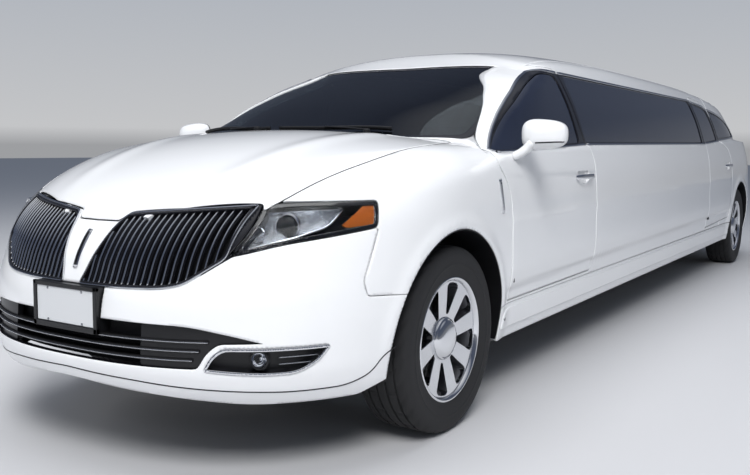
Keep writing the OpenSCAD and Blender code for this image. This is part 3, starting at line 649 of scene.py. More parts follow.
# side view outlines, as in the CAD
front_door = rounded([(F(514), 448, 20), (F(1630), 455, 20), (F(1640), 1090, 60), (F(1560), 1180, 60),
                      (F(1500), 1490, 30), (F(1480), 1545, 20), (F(1230), 1562, 60), (F(1000), 1490, 100),
                      (F(720), 1350, 100), (F(430), 1160, 60), (F(386), 1100, 25), (F(396), 1050, 30),
                      (F(455), 990, 60), (F(500), 900, 60)])
front_window = rounded([(F(450), 1115, 18), (F(1495), 1152, 22), (F(1450), 1478, 50), (F(1425), 1512, 25),
                        (F(1270), 1516, 60), (F(1050), 1440, 100), (F(760), 1300, 100)])
rear_door = rounded([(R(-1440), 462, 20), (R(-492), 490, 20), (R(-462), 620, 60), (R(-430), 760, 60),
                     (R(-445), 1000, 60), (R(-500), 1120, 50), (R(-800), 1195, 80), (R(-832), 1235, 30),
                     (R(-885), 1490, 40), (R(-1000), 1535, 60), (R(-1420), 1560, 20), (R(-1450), 1530, 20),
                     (R(-1440), 1150, 40)])
rear_window = rounded([(R(-1400), 1182, 14), (R(-880), 1208, 22), (R(-935), 1455, 30), (R(-1010), 1482, 40),
                       (R(-1370), 1510, 14), (R(-1405), 1490, 10)])
long_window = rounded([(F(1600), 1156, 14), (R(-1500), 1180, 10), (R(-1500), 1490, 10),
                       (R(-1530), 1524, 12), (F(1590), 1524, 14), (F(1560), 1490, 20)])
quarter_window = rounded([(R(-780), 1228, 16), (R(-420), 1236, 200), (R(60), 1258, 100), (R(140), 1280, 30),
                          (R(-120), 1372, 200), (R(-480), 1436, 200), (R(-835), 1462, 14)])


def circle(cy, cz, r, n=72):
    t = np.arange(n) / n * 2 * np.pi
    return np.stack([cy + r * np.cos(t), cz + r * np.sin(t)], 1)


def arch(c, r=432):
    """The wheel opening, seen from the side: round above, straight below."""
    t = np.linspace(-0.16, np.pi + 0.16, 60)
    q = np.stack([c + r * np.cos(t), AXLE_Z + 6 + r * np.sin(t)], 1)
    return np.concatenate([q, [[c - r + 4, 230], [c + r - 4, 230]]])


# plan outlines
hood_edge = key(("A", 106, 863), ("A", 126, 893), ("A", 341, 911), ("A", 596, 931))
hood_half = [(0, float(key(("A", 0, 862))[0, 1]), 5)] + [(q[0], q[1], 18) for q in hood_edge]
hood_half += [(612, F(-752), 20), (652, F(-658), 80), (700, F(-500), 150), (755, F(-300), 150),
              (778, F(-60), 150), (782, F(150), 80), (762, F(300), 16), (690, F(255), 60),
              (560, F(140), 120), (330, F(85), 150), (0, F(70), 100)]
hood_line = rounded(mirrored(hood_half))
screen_line = rounded(mirrored([(0, F(98)), (330, F(112), 150), (560, F(168), 150), (700, F(286), 100),
                                (778, F(376), 60), (792, F(440), 40), (784, F(529), 100),
                                (745, F(860), 200),
                                (694, F(1122), 80), (662, F(1206), 4), (330, F(1165), 200), (0, F(1150))]))
roof_line = rounded(mirrored([(0, F(1152)), (330, F(1167), 200), (660, F(1208), 4), (668, F(1260), 40),
                              (655, R(-900), 300), (570, R(640), 14), (0, R(640))]))

# front view outlines
grille_half = rounded([(42, 650, 14), (207, 650, 80), (380, 656, 80), (456, 670, 60), (508, 708, 60),
                       (572, 756, 20), (590, 926, 12), (330, 905, 120), (134, 888, 24), (112, 855, 20)],
                      step=9)
fog_half = rounded([(543, 399, 10), (694, 382, 60), (771, 383, 30), (812, 417, 20), (838, 470, 12),
                    (702, 471, 60), (598, 474, 30), (568, 448, 20)], step=9)
intake_line = rounded(both([(0, 404), (526, 404, 14), (552, 455, 30), (585, 487, 20), (700, 487, 4),
                            (630, 512, 60), (502, 543, 80), (160, 548, 60), (0, 548)]), step=9)

g_map = NOSE_MAP
grille_flat = seen_from(AHEAD, g_map, grille_half)
fog_flat = seen_from(AHEAD, g_map, fog_half)
intake_flat = seen_from(AHEAD, g_map, intake_line)
lamp_keys = flat_key(g_map, ("A", 596, 931), ("A", 700, 938), ("S", F(-442), 938), ("S", F(-450), 915),
                     ("S", F(-474), 848), ("A", 711, 803), ("A", 618, 774), ("A", 576, 764))
lamp_flat = rounded([q + (r,) for q, r in zip(lamp_keys, (10, 80, 16, 10, 14, 60, 20, 14))], step=9)

# ---- Body panels ---------------------------------------------------------------------------

BODY = "body"


def place(o, body, *nodes):
    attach(o, body)
    if nodes:
        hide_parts(*nodes)
    return o


def pair(o, body_left, body_right, left=(), right=()):
    """A piece and its mirror image on the other side."""
    base = o.name.replace("left_", "")
    p = mirror(o, "right_" + base)
    place(o, body_left, *left)
    place(p, body_right, *right)
    return o, p


# front bumper
bumper_keys = flat_key(g_map, ("A", 0, 858), ("A", 103, 859), ("A", 124, 889), ("A", 341, 907),
                       ("A", 596, 927))
bumper_keys += flat_key(g_map, ("S", F(-474), 843), ("S", F(-556), 665), ("S", F(-543), 616),
                        ("S", F(-398), 606),
                        ("S", F(-340), 600), ("S", F(-340), 330), ("S", F(-440), 300), ("S", F(-495), 282),
                        ("A", 849, 267), ("A", 641, 271), ("A", 403, 300), ("A", 0, 328))
bumper_keys = [(abs(q[0]) if i in (0, len(bumper_keys) - 1) else q[0], q[1]) for i,
               q in enumerate(bumper_keys)]
bumper_keys[0] = (0.0, bumper_keys[0][1])
bumper_keys[-1] = (0.0, bumper_keys[-1][1])
bumper_in = rounded([q + (r,) for q,
                     r in zip(both(bumper_keys), [2, 6, 14, 100, 3, 10, 18, 12, 40, 4, 4, 30, 30,
                    80, 80, 80, 200] + [80, 80, 80, 30, 30, 4, 4, 40, 12, 18, 10, 3, 100, 14, 6])])
plate_cut = rounded(flat_key(g_map, ("A", -167, 488), ("A", 167, 488), ("A", 167, 652), ("A", -167, 652)),
                    r=6)
arch_nose = seen_from(SIDE, g_map, arch(FRONT_Y))
lamp_gap = grow(lamp_flat, 3)
cuts = [intake_flat, plate_cut]
for s in (1, -1):
    m = np.array([s, 1.0])
    cuts += [grille_flat * m, fog_flat * m, lamp_gap * m, arch_nose * m]
beside_grille = flat_key(g_map, ("A", 505, 700), ("A", 585, 760), ("A", 640, 790), ("A", 640, 940),
                         ("A", 560, 940))
blank = np.array(finer(np.array(beside_grille), 20))
bumper = panel("front_bumper_cover", g_map, bumper_in, cuts, grid=20, thick=26, mats=(PAINT, TRIM, GLOSS),
                 zones=[(blank, 2), (blank * np.array([-1.0, 1.0]), 2)],
               dark_walls=[grow(q * np.array([k, 1.0]), 2) for q in (grille_flat, lamp_gap,
                                                                     fog_flat) for k in (1, -1)]
               + [grow(intake_flat, 2), grow(plate_cut, 2)])
place(bumper, BODY, "front_bumper")

# hood
# the rear corners dip as the hood opens, so they stop a little short
ease = np.clip((hood_line[:, 1] - F(40)) / 120, 0, 1)[:, None]
hood_shown = hood_line + (grow(hood_line, -6) - hood_line) * ease
# the hood's edge walls take the black trim: painted shade for the gap round the hood
hood = panel("hood_panel", TOP, hood_shown, grid=24, thick=11, wall_kind=1)
place(hood, "hood_lid", "hood")

# front fenders
door_gap = grow(front_door, 5)
fender_in = np.array([[RING.radius * math.radians(48), F(-900)], [RING.radius * math.radians(112), F(-900)],
                      [RING.radius * math.radians(112), F(509)], [RING.radius * math.radians(48), F(509)]])
bumper_side = np.array(rounded([(F(-900), 180, 2), (F(-300), 180, 2), (F(-300), 598, 2), (F(-398), 608, 30),
                                (F(-541), 619, 10), (F(-552), 668, 18), (F(-468), 843, 10),
                                (F(-600), 850, 5), (F(-600), 940, 5), (F(-900), 940, 2)]))


def ring(view, outline):
    """An outline drawn in another map, carried over to the fenders' map."""
    return RING.flat(view.solid(np.array(finer(outline, 30))))


sill_cut = ring(SIDE,
                rounded([(F(-200), 200), (R(-100), 200), (R(-100), 436, 1), (F(-200), 432, 1)], step=30))
fender_cuts = [ring(TOP, grow(hood_line, 4)), ring(TOP, grow(screen_line, 4)), ring(SIDE, door_gap),
               ring(SIDE, bumper_side), ring(SIDE, arch(FRONT_Y)), sill_cut,
               RING.flat(g_map.solid(lamp_gap)), ring(SIDE, circle(0, 0, 1)) + 1e5]
fender = panel("left_front_fender", RING, fender_in, fender_cuts, grid=22, thick=26)
pair(fender, BODY, BODY, ("front_fenders",), ("front_fenders",))

upper_dark = np.array([(F(1400), 1138), (F(1600), 1144), (R(-1500), 1168), (R(-1300), 1174),
                       (R(-1300), 1530),
                       (R(-1560), 1533), (F(1560), 1533), (F(1500), 1525), (F(1400), 1500)])

# long sides: pillars, rail above the windows and the panel between the doors
side_in = np.array([[RING.radius * math.radians(30), F(330)], [RING.radius * math.radians(112), F(330)],
                    [RING.radius * math.radians(112), R(-861)], [RING.radius * math.radians(30), R(-861)]])
fender_zone = ring(SIDE,
                   rounded([(F(300), 300), (F(514), 300), (F(514), 1097), (F(384), 1097), (F(376), 1130),
                                  (F(300), 1136)], r=2))
side_cuts = [ring(TOP, grow(screen_line, 4)), ring(TOP, grow(roof_line, 1.5)), ring(SIDE, door_gap),
             ring(SIDE, grow(rear_door, 5)), ring(SIDE, long_window), ring(TOP, grow(hood_line, 4)),
             fender_zone, sill_cut]
side = panel("left_body_side", RING, side_in, side_cuts, grid=30, thick=60, mats=(PAINT, LINING, GLOSS),
             zones=[(ring(SIDE, np.array(finer(upper_dark, 60))), 2)],
             dark_walls=[ring(TOP, grow(screen_line, 7))])
pair(side, BODY, BODY, ("body_sides",), ("body_sides",))

# roof and windshield
roof_cuts = [grow(screen_line, 3)]
roof = panel("roof_panel", TOP, roof_line, roof_cuts, grid=34, thick=36, mats=(PAINT, LINING),
             dark_walls=[grow(screen_line, 6)], dark=1)
place(roof, BODY, "roof")
screen = panel("windshield_pane", TOP, grow(screen_line, -3), grid=40, thick=6, lift=-7, mats=(SCREEN,),
               edge=2, drop=0)
place(screen, BODY, "windshield")
band = panel("windshield_border", TOP, grow(screen_line, -1), [grow(screen_line, -28)], grid=30, thick=8,
             lift=-5.5, mats=(GLOSS,), edge=2, drop=0.5)
place(band, BODY)


def pane(name, outline):
    """Side glass, set a little inside its opening."""
    return panel(name, SIDE, grow(outline, -2.0), grid=45, thick=5, lift=-6, mats=(TINT,), edge=2, drop=0)


# doors
upper_front = rounded([(F(415), 1101, 10), (F(1500), 1141), (F(1800), 1146), (F(1800), 1534),
                       (F(1400), 1534, 60), (F(1262), 1536, 60), (F(1040), 1460, 100), (F(748), 1320, 100)])
upper_rear = rounded([(R(-1600), 1164), (R(-700), 1200), (R(-700), 1420), (R(-935), 1486, 40),
                      (R(-1010), 1504, 60), (R(-1600), 1534)])


cup_line = rounded([(F(1345), 1004, 26), (F(1535), 1004, 26), (F(1520), 948, 34), (F(1440), 934, 50),
                    (F(1360), 948, 34)], step=8)


def door(name, outline, window, body, nodes, opposite):
    dark = upper_front if name == "front_side" else upper_rear
    cup = cup_line + np.array([0 if name == "front_side" else R(-640) - F(1440), 0])
    floor = panel("left_" + name + "_handle_cup", SIDE, grow(cup, 1), grid=12, thick=3, lift=-13,
                  mats=(PAINT, TRIM), edge=2, drop=0)
    pair(floor, body, opposite)
    skin = panel("left_" + name + "_panel", SIDE, outline, [window, cup], grid=24, thick=58,
                 mats=(PAINT, LINING, GLOSS), zones=[(dark, 2)])
    glass = pane("left_" + name + "_pane", window)
    left, right = nodes
    pair(skin, body, opposite, (left,), (right,))
    pair(glass, body, opposite, (left + "_glass",), (right + "_glass",))


door("front_side", front_door, front_window, "left_front_side_door",
                      ("left_front_door", "right_front_door"), "right_front_side_door")
door("rear_side", rear_door, rear_window, "left_rear_side_door",
                     ("left_rear_door", "right_rear_door"), "right_rear_side_door")
long_pane = pane("left_long_pane", long_window)
pair(long_pane, BODY, BODY, ("fixed_side_glass",), ("fixed_side_glass",))
quarter_pane = panel("left_quarter_pane", TAIL_MAP, seen_from(SIDE, TAIL_MAP, grow(quarter_window, -2)),
                     grid=45, thick=5, lift=-6, mats=(TINT,), edge=2, drop=0)
pair(quarter_pane, BODY, BODY, ("fixed_side_glass",), ("fixed_side_glass",))

# quarter panels
DEG = 950 * math.pi / 180


def tail(view, outline):
    """An outline drawn in another map, carried over to the tail's map."""
    return TAIL_MAP.flat(view.solid(np.array(finer(outline, 30))))


gate_keys = flat_key(GATE_MAP, ("B", 0, 636), ("B", 680, 636), ("B", 680, 900), ("B", 680, 1200))
gate_top = flat_key(GATE_MAP, ("T", 560, R(652)), ("T", 300, R(650)), ("T", 0, R(650)))
gk = gate_keys + gate_top
gate_out = rounded([(q[0], q[1], r) for q, r in zip(gk, (2, 14, 80, 120, 20, 60, 2))]
                   + [(q[0], -q[1], r) for q, r in zip(reversed(gk[1:-1]), (60, 20, 120, 80, 14))])
glass_keys = flat_key(GATE_MAP, ("B", 0, 1235), ("B", 585, 1245), ("B", 470, 1470), ("B", 0, 1488))
gate_glass = rounded([(q[0], q[1], r) for q, r in zip(glass_keys, (400, 40, 60, 400))]
                     + [(q[0], -q[1], r) for q, r in zip(reversed(glass_keys[1:-1]), (60, 40))])
edge_x = np.array([q for q in finer(grow(roof_line, 1.5),
                                    20) if q[0] > 300 and q[1] > R(-880) and q[1] < R(641)])
edge_x = edge_x[np.argsort(edge_x[:, 1])]
top_edge = TAIL_MAP.flat(TOP.solid(edge_x))
q_in = np.concatenate([[[12 * DEG, 436.0], [150 * DEG, 436.0]], top_edge, [[12 * DEG, 1380.0]]])
before = tail(SIDE,
              rounded([(R(-1600), 300), (R(-859), 300), (R(-859), 1620), (R(-1600), 1620)], r=1, step=40))
q_cuts = [before, tail(SIDE, grow(rear_door, 5)), tail(SIDE, quarter_window), tail(SIDE, arch(REAR_Y)),
          TAIL_MAP.flat(GATE_MAP.solid(np.array(finer(grow(gate_out, 3), 25))))]
rear_seam = flat_key(TAIL_MAP, ("S", R(300), 543), ("S", R(400), 563), ("S", R(560), 643), ("B", 700, 628))
low = [(rear_seam[0][0], 200.0)] + rear_seam + [(0.0, 628.0), (0.0, 200.0)]
q_cuts.append(np.array(rounded(low, r=8)))
tail_lamp_flat = rounded(flat_key(TAIL_MAP, ("B", 694, 884), ("S", R(560), 884), ("S", R(540), 1006),
                                  ("B", 694, 984)),
                         r=12, step=9)
q_cuts.append(grow(tail_lamp_flat, 3))
dark_quarter = rounded([(R(-900), 1196), (R(-420), 1220, 200), (R(80), 1243, 120),
                        (R(172), 1280, 30), (R(-110), 1388, 200), (R(-480), 1452, 200), (R(-900), 1484)])
quarter = panel("left_quarter_panel", TAIL_MAP, q_in, q_cuts, grid=28, thick=60,
                mats=(PAINT, LINING, GLOSS), zones=[(tail(SIDE, dark_quarter), 2)])
pair(quarter, BODY, BODY, ("quarter_panels",), ("quarter_panels",))

# rear bumper
rb = [(0.0, 270.0, 60)] + [q + (40,) for q in flat_key(TAIL_MAP, ("B", 500, 275), ("S", R(560), 285))]
rb += [(rear_seam[0][0] + 120, 300.0, 5), (rear_seam[0][0] + 120, 538.0, 5)]
rb += [q + (10,) for q in flat_key(TAIL_MAP, ("S", R(300), 539), ("S", R(400), 559), ("S", R(560), 638))]
rb += [q + (6,) for q in flat_key(TAIL_MAP, ("B", 692, 624))] + [(0.0, 624.0, 4)]
rb_in = rounded(both(rb))
rear_cuts = []
for s in (1, -1):
    rear_cuts.append(tail(SIDE, arch(REAR_Y)) * np.array([s, 1.0]))
rear_bumper = panel("rear_bumper_cover", TAIL_MAP, rb_in, rear_cuts, grid=24, thick=26)
place(rear_bumper, BODY, "rear_bumper")

# liftgate and its glass
gate = panel("liftgate_panel", GATE_MAP, gate_out, [gate_glass], grid=26, thick=44, mats=(PAINT, LINING))
place(gate, "tailgate", "liftgate")
gate_pane = panel("liftgate_pane", GATE_MAP, grow(gate_glass, -2), grid=40, thick=5, lift=-6, mats=(TINT,),
                  edge=2, drop=0)
place(gate_pane, "tailgate", "rear_glass")


# ---- Small shapes -----------------------------------------------------------------------


def sweep(name, path, ups, outline, mats, closed=False):
    """A bar along a path; outline is its section across the path, as (sideways, up) points."""
    path, ups, outline = (np.asarray(q, float) for q in (path, ups, outline))
    if closed:
        t = np.roll(path, -1, 0) - np.roll(path, 1, 0)
    else:
        t = np.gradient(path, axis=0)
    t /= np.linalg.norm(t, axis=1)[:, None]
    ups = ups - t * np.sum(ups * t, axis=1)[:, None]
    ups /= np.linalg.norm(ups, axis=1)[:, None]
    across = np.cross(t, ups)
    n, k = len(path), len(outline)
    v = path[:, None] + across[:, None] * outline[None, :, 0:1] + ups[:, None] * outline[None, :, 1:2]
    f = []
    for i in range(n if closed else n - 1):
        a, b = i * k, ((i + 1) % n) * k
        for j in range(k):
            f.append((a + j, a + (j + 1) % k, b + (j + 1) % k, b + j))
    if not closed:
        f.append(tuple(range(k))[::-1])
        f.append(tuple((n - 1) * k + j for j in range(k)))
    return mesh(name, v.reshape(-1, 3), f, mats)


def oval(w, h, n=10):
    t = np.arange(n) / n * 2 * np.pi
    return np.stack([w / 2 * np.cos(t), h / 2 * np.sin(t)], 1)


def soften(o, width, segments=3, angle=35):
    """Bevelled edges, and shading that keeps flat faces flat."""
    b = o.modifiers.new("bevel", "BEVEL")
    b.width, b.segments, b.limit_method = width * 0.001, segments, "ANGLE"
    b.angle_limit = math.radians(angle)
    b.harden_normals = True
    return o


def block(name, lo, hi, mats, bevel=0):
    x0, y0, z0 = lo
    x1, y1, z1 = hi
    v = [(x0, y0, z0), (x1, y0, z0), (x1, y1, z0), (x0, y1, z0), (x0, y0, z1), (x1, y0, z1), (x1, y1, z1),
         (x0, y1, z1)]
    f = [(3, 2, 1, 0), (4, 5, 6, 7), (0, 1, 5, 4), (1, 2, 6, 5), (2, 3, 7, 6), (3, 0, 4, 7)]
    o = mesh(name, v, f, mats, smooth=bevel > 0)
    return soften(o, bevel) if bevel else o


def lathe(name, profile, mats, centre=(0, 0, 0), axis="x", steps=96, which=None, sign=1):
    """A turned shape; profile points are (radius, distance along the axis)."""
    p = np.asarray(profile, float)
    t = np.arange(steps) / steps * 2 * np.pi
    k = len(p)
    r, a = p[:, 0][None], p[:, 1][None] * sign
    c, s = np.cos(t)[:, None] * r, np.sin(t)[:, None] * r
    a = np.broadcast_to(a, c.shape)
    order = {"x": (a, c, s), "y": (s, a, c), "z": (c, s, a)}[axis]
    v = np.stack(order, 2).reshape(-1, 3) + np.asarray(centre, float)
    f, w = [], []
    for i in range(steps):
        b = (i + 1) % steps
        for j in range(k - 1):
            q = (i * k + j, i * k + j + 1, b * k + j + 1, b * k + j)
            f.append(q if sign > 0 else q[::-1])
            w.append(which[j] if which else 0)
    return mesh(name, v, f, mats, w)


def join(objs, name):
    """Several mesh objects as one."""
    for k in [k for k, o in made.items() if o in objs]:
        del made[k]
    with bpy.context.temp_override(active_object=objs[0], selected_editable_objects=objs, object=objs[0]):
        bpy.ops.object.join()
    objs[0].name = name
    made[name] = objs[0]
    return objs[0]


def mirror_plain(o, name):
    m = o.data.copy()
    m.transform(Matrix.Diagonal((-1, 1, 1, 1)))
    m.flip_normals()
    p = bpy.data.objects.new(name, m)
    bpy.context.collection.objects.link(p)
    for q in o.modifiers:
        if q.type == "BEVEL":
            b = p.modifiers.new("bevel", "BEVEL")
            b.width, b.segments = q.width, q.segments
            b.limit_method, b.angle_limit = q.limit_method, q.angle_limit
            b.harden_normals = q.harden_normals
    made[name] = p
    return p


def pair_plain(o, body_left, body_right=None, left=(), right=()):
    p = mirror_plain(o, o.name.replace("left_", "right_", 1))
    place(o, body_left, *left)
    place(p, body_right or body_left, *right)
    return o, p


# ---- Front details --------------------------------------------------------------------------


def on_nose(xz, lift=0.0):
    """Points on the nose given in the front view, and the surface's normals there."""
    p = AHEAD.solid(np.asarray(xz, float))
    n = normals(p)
    return p + n * lift, n


def span_at(poly, x):
    """Lowest and highest crossing of an upright line with an outline."""
    a, b = poly, np.roll(poly, -1, 0)
    hit = (a[:, 0] > x) != (b[:, 0] > x)
    z = a[hit, 1] + (b[hit, 1] - a[hit, 1]) * (x - a[hit, 0]) / (b[hit, 0] - a[hit, 0])
    return z.min(), z.max()


def nose_sheet(name, flat, mats, lift, thick=3, cuts=(), grid=26, edge=2.0, drop=0.0):
    return panel(name, g_map, flat, list(cuts), grid=grid, thick=thick, lift=lift, mats=mats, edge=edge,
                 drop=drop)


def nose_frame(name, flat, outer, inner, lift, thick, mat, drop=1.5):
    """A band that follows an outline on the nose, from outer to inner, both measured outwards."""
    return nose_sheet(name, grow(flat, outer), (mat, mat), lift, thick, [grow(flat, inner)], 30, 3.0, drop)


# a near-black sheet behind the grille: painted shade for the depth of the opening
grille_shade_sheet = nose_sheet("left_grille_back", grow(grille_flat, 2), (CAVITY_SHADE,), -46)
pair(grille_shade_sheet, BODY, BODY, ("grilles",), ("grilles",))
frame_ring = nose_frame("left_grille_frame", grille_flat, -1, -10, 3.0, 46, GLOSS)
pair(frame_ring, BODY, BODY)
frame_line = nose_frame("left_grille_line", grille_flat, 1.0, -3.5, 5.0, 20, CHROME)
pair(frame_line, BODY, BODY)
bars, ribs = [], []
for i in range(21):
    x = 56 + i * 25.6
    z0, z1 = span_at(grille_half, x)
    if z1 - z0 < 24:
        continue
    zz = np.linspace(z0 + 4, z1 - 4, 16)
    p, n = on_nose(np.stack([np.full(16, x) + (zz - 780) * 0.02, zz], 1))
    blade = np.array([(-1.6, -40), (1.6, -40), (2.6, -9), (-2.6, -9)])
    bars.append(sweep(f"grille_blade_{i}", p, n, blade, (GLOSS,)))
    rib = np.array([(-2.6, -10), (2.6, -10), (3.0, -6), (1.6, -1.5), (-1.6, -1.5), (-3.0, -6)])
    ribs.append(sweep(f"grille_rib_{i}", p, n, rib, (CHROME,)))
pair_plain(join(bars, "left_grille_blades"), BODY)
pair_plain(join(ribs, "left_grille_ribs"), BODY)

# centre ornament, left plain
zz = np.linspace(700, 826, 12)
p, n = on_nose(np.stack([np.zeros(12), zz], 1), 2.0)
ornament = sweep("nose_ornament", p, n, oval(24, 8, 16), (CHROME,))
place(ornament, BODY)
p, n = on_nose(np.stack([np.zeros(12), np.linspace(709, 817, 12)], 1), 4.5)
place(sweep("nose_ornament_inset", p, n, oval(15, 6, 16), (SOOT,)), BODY)

# lower intake
# a near-black sheet behind the intake: painted shade for the depth of the opening
place(nose_sheet("intake_back", grow(intake_flat, 2), (CAVITY_SHADE,), -50), BODY)
wing_r = seen_from(AHEAD, g_map,
                   rounded([(330, 404), (524, 404, 14), (550, 455, 30), (585, 487, 20), (697, 487, 4),
                                          (630, 510, 60), (502, 541, 80), (330, 547)], step=9))
wing = nose_sheet("left_intake_blank", grow(wing_r, -1.0), (SOOT,), -14, 20)
pair(wing, BODY, BODY)
slats = []
for k, (z, x1) in enumerate(((492, 556), (462, 530), (432, 510))):
    xs = np.linspace(-x1, x1, 60)
    p, n = on_nose(np.stack([xs, np.full(60, z)], 1), -8)
    slats.append(sweep(f"intake_slat_{k}", p, n,
                       np.array([(-5, -34), (5, -34), (5, 0), (3, 3), (-3, 3), (-5, 0)]), (TRIM,)))
    p, n = on_nose(np.stack([xs, np.full(60, z)], 1), -4.5)
    slats.append(sweep(f"intake_line_{k}", p, n, oval(4.5, 3, 8), (SATIN,)))
place(join(slats, "intake_slats"), BODY)

# fog lamps
fog_back = nose_sheet("left_fog_back", grow(fog_flat, 1), (TRIM,), -42)
pair(fog_back, BODY, BODY, ("lamps",), ("lamps",))
fog_ring = nose_frame("left_fog_bezel", fog_flat, 1, -9, 4.5, 40, CHROME, 2.0)
pair(fog_ring, BODY, BODY)
c, n = on_nose([(690, 430)], -20)
axis = np.array([0.25, -0.968, 0])


def disc_lamp(name, centre, way, r, depth, ring_mat, lens_mat, bowl_mat):
    """A round lamp: bright bowl, bezel and domed lens, looking along way."""
    way = np.asarray(way, float) / np.linalg.norm(way)
    objs = [lathe("a",
                  [(r * 0.12, -depth), (r * 0.5, -depth * 0.85), (r * 0.85, -depth * 0.4), (r * 0.96, 0)],
                  (bowl_mat,), axis="z", steps=48),
            lathe("b",
                  [(r * 0.93, -2), (r * 0.97, 5), (r * 1.05, 6), (r * 1.12, 2), (r * 1.14, -depth * 0.5)],
                  (ring_mat,), axis="z", steps=48),
            lathe("c", [(0.01, 5), (r * 0.3, 4.6), (r * 0.6, 3.4), (r * 0.8, 1.6), (r * 0.95, -1)],
                  (lens_mat,), axis="z", steps=48),
            lathe("d", [(0.01, -depth * 0.5), (r * 0.2, -depth * 0.55), (r * 0.22, -depth)], (bowl_mat,),
                  axis="z", steps=24)]
    o = join(objs, name)
    z = way
    x = np.cross((0, 0, 1), z)
    x /= np.linalg.norm(x)
    y = np.cross(z, x)
    m = Matrix(((x[0], y[0], z[0], centre[0] / 1000), (x[1], y[1], z[1], centre[1] / 1000),
                (x[2], y[2], z[2], centre[2] / 1000), (0, 0, 0, 1)))
    o.data.transform(m)
    return o


fog_lamp = disc_lamp("left_fog_lamp", c[0], axis, 30, 26, TRIM, CLEAR, CHROME)
pair_plain(fog_lamp, BODY)
xs = np.linspace(735, 815, 10)
fins = []
for k, z in enumerate((416, 438)):
    p, n = on_nose(np.stack([xs, np.full(10, z)], 1), -14)
    fins.append(sweep(f"fog_fin_{k}", p, n, oval(5, 10, 8), (SATIN,)))
pair_plain(join(fins, "left_fog_fins"), BODY)

# headlamps
lamp_bowl = nose_sheet("left_lamp_bowl", grow(lamp_flat, 0.5), (TRIM,), -72, 4)
pair(lamp_bowl, BODY, BODY)
lamp_edge = nose_frame("left_lamp_edge", lamp_flat, 0, -14, -4, 66, GLOSS, 1.0)
pair(lamp_edge, BODY, BODY)
inner_keys = flat_key(g_map, ("A", 614, 920), ("A", 700, 926), ("A", 806, 928), ("A", 800, 862),
                      ("A", 738, 830), ("A", 660, 806), ("A", 596, 790))
inner_lamp = rounded([q + (r,) for q, r in zip(inner_keys, (10, 60, 12, 30, 30, 60, 12))], step=9)
bright = nose_sheet("left_lamp_reflector", inner_lamp, (SHINE,), -44, 3)
pair(bright, BODY, BODY)
rim_bright = nose_frame("left_lamp_inner_edge", inner_lamp, 3, -4, -22, 34, CHROME, 2.0)
pair(rim_bright, BODY, BODY)
lens = nose_sheet("left_lamp_lens", grow(lamp_flat, -0.5), (CLEAR,), -1.5, 3.0, grid=20)
pair(lens, BODY, BODY)
c, n = on_nose([(700, 872)], -26)
main = disc_lamp("left_main_lamp", c[0], (0.3, -0.95, 0.03), 40, 22, CHROME, GLOSS, SATIN)
c2, n = on_nose([(700, 872)], -16)
eyelet = lathe("left_projector", [(0.01, 9), (9, 8.2), (18, 5.6), (25, 0), (27, -4)], (CLEAR,), axis="z",
               steps=48)
z = np.array((0.3, -0.95, 0.03)) / np.linalg.norm((0.3, -0.95, 0.03))
x = np.cross((0, 0, 1), z)
x /= np.linalg.norm(x)
y = np.cross(z, x)
eyelet.data.transform(Matrix(((x[0], y[0], z[0], c2[0][0] / 1000), (x[1], y[1], z[1], c2[0][1] / 1000),
                              (x[2], y[2], z[2], c2[0][2] / 1000), (0, 0, 0, 1))))
pair_plain(join([main, eyelet], "left_main_lamp"), BODY)
c, n = on_nose([(632, 845)], -34)
turn_lamp = disc_lamp("left_high_beam", c[0], (0.2, -0.97, 0.05), 26, 18, CHROME, CLEAR, CHROME)
pair_plain(turn_lamp, BODY)
amber_keys = flat_key(g_map, ("S", F(-452), 926), ("S", F(-470), 860), ("A", 838, 852), ("A", 826, 862),
                      ("A", 846, 926))
amber_flat = rounded([q + (10,) for q in amber_keys], step=8)
amber = nose_sheet("left_side_marker", amber_flat, (AMBER,), -9, 8)
pair(amber, BODY, BODY)

# front plate with a blank face, and its bracket


def plate_set(prefix, y, sign, z0, z1, body, *nodes):
    """A bracket with a raised frame round a blank plate; y is the foremost face and sign points outwards."""
    lo, hi = (-166, z0), (166, z1)
    back_y = y - sign * 60
    walls = []
    box_y = sorted((y - sign * 6, back_y))
    walls.append(block("w", (-164, box_y[0], z0 + 1), (164, box_y[1], z1 - 1), (SOOT,), 2))
    face = sorted((y, y - sign * 14))
    for a, b in (((lo[0], z0), (hi[0], z0 + 20)), ((lo[0], z1 - 15), (hi[0], z1)),
                 ((lo[0], z0), (lo[0] + 17, z1)), ((hi[0] - 17, z0), (hi[0], z1))):
        walls.append(block("w", (a[0], face[0], a[1]), (b[0], face[1], b[1]), (SOOT,), 4))
    o = join(walls, prefix + "_surround")
    place(o, body, *nodes)
    f = sorted((y - sign * 4, y - sign * 9))
    place(block(prefix + "_blank", (-148, f[0], z0 + 21), (148, f[1], z1 - 16), (PLATE,), 1.2), body)
    mid = (z0 + z1) / 2 + 2
    screws = [lathe("s", [(0.01, 1.8), (4, 1.5), (5.6, -2)], (SATIN,),
                    (sx * 89, y - sign * 3.6, mid + sz * 55), "y", 20,
                    sign=sign) for sx in (-1, 1) for sz in (-1, 1)]
    place(join(screws, prefix + "_screws"), body)


plate_set("front_plate", NOSE + 0.3, -1, 491, 650, BODY, "front_plate")


def along(points, step=25):
    """Points of an open line, closer together."""
    p = np.asarray(points, float)
    out = [p[0]]
    for a, b in zip(p[:-1], p[1:]):
        n = max(1, int(np.linalg.norm(b - a) / step))
        out += [a + (b - a) * j / n for j in range(1, n + 1)]
    return np.array(out)


def strip(name, view, points, width, height, mat, lift=0.0, step=25):
    """A slim moulding along a line on the surface."""
    p = view.solid(along(points, step))
    n = normals(p)
    return sweep(name, p + n * lift, n, oval(width, height, 8), (mat,))
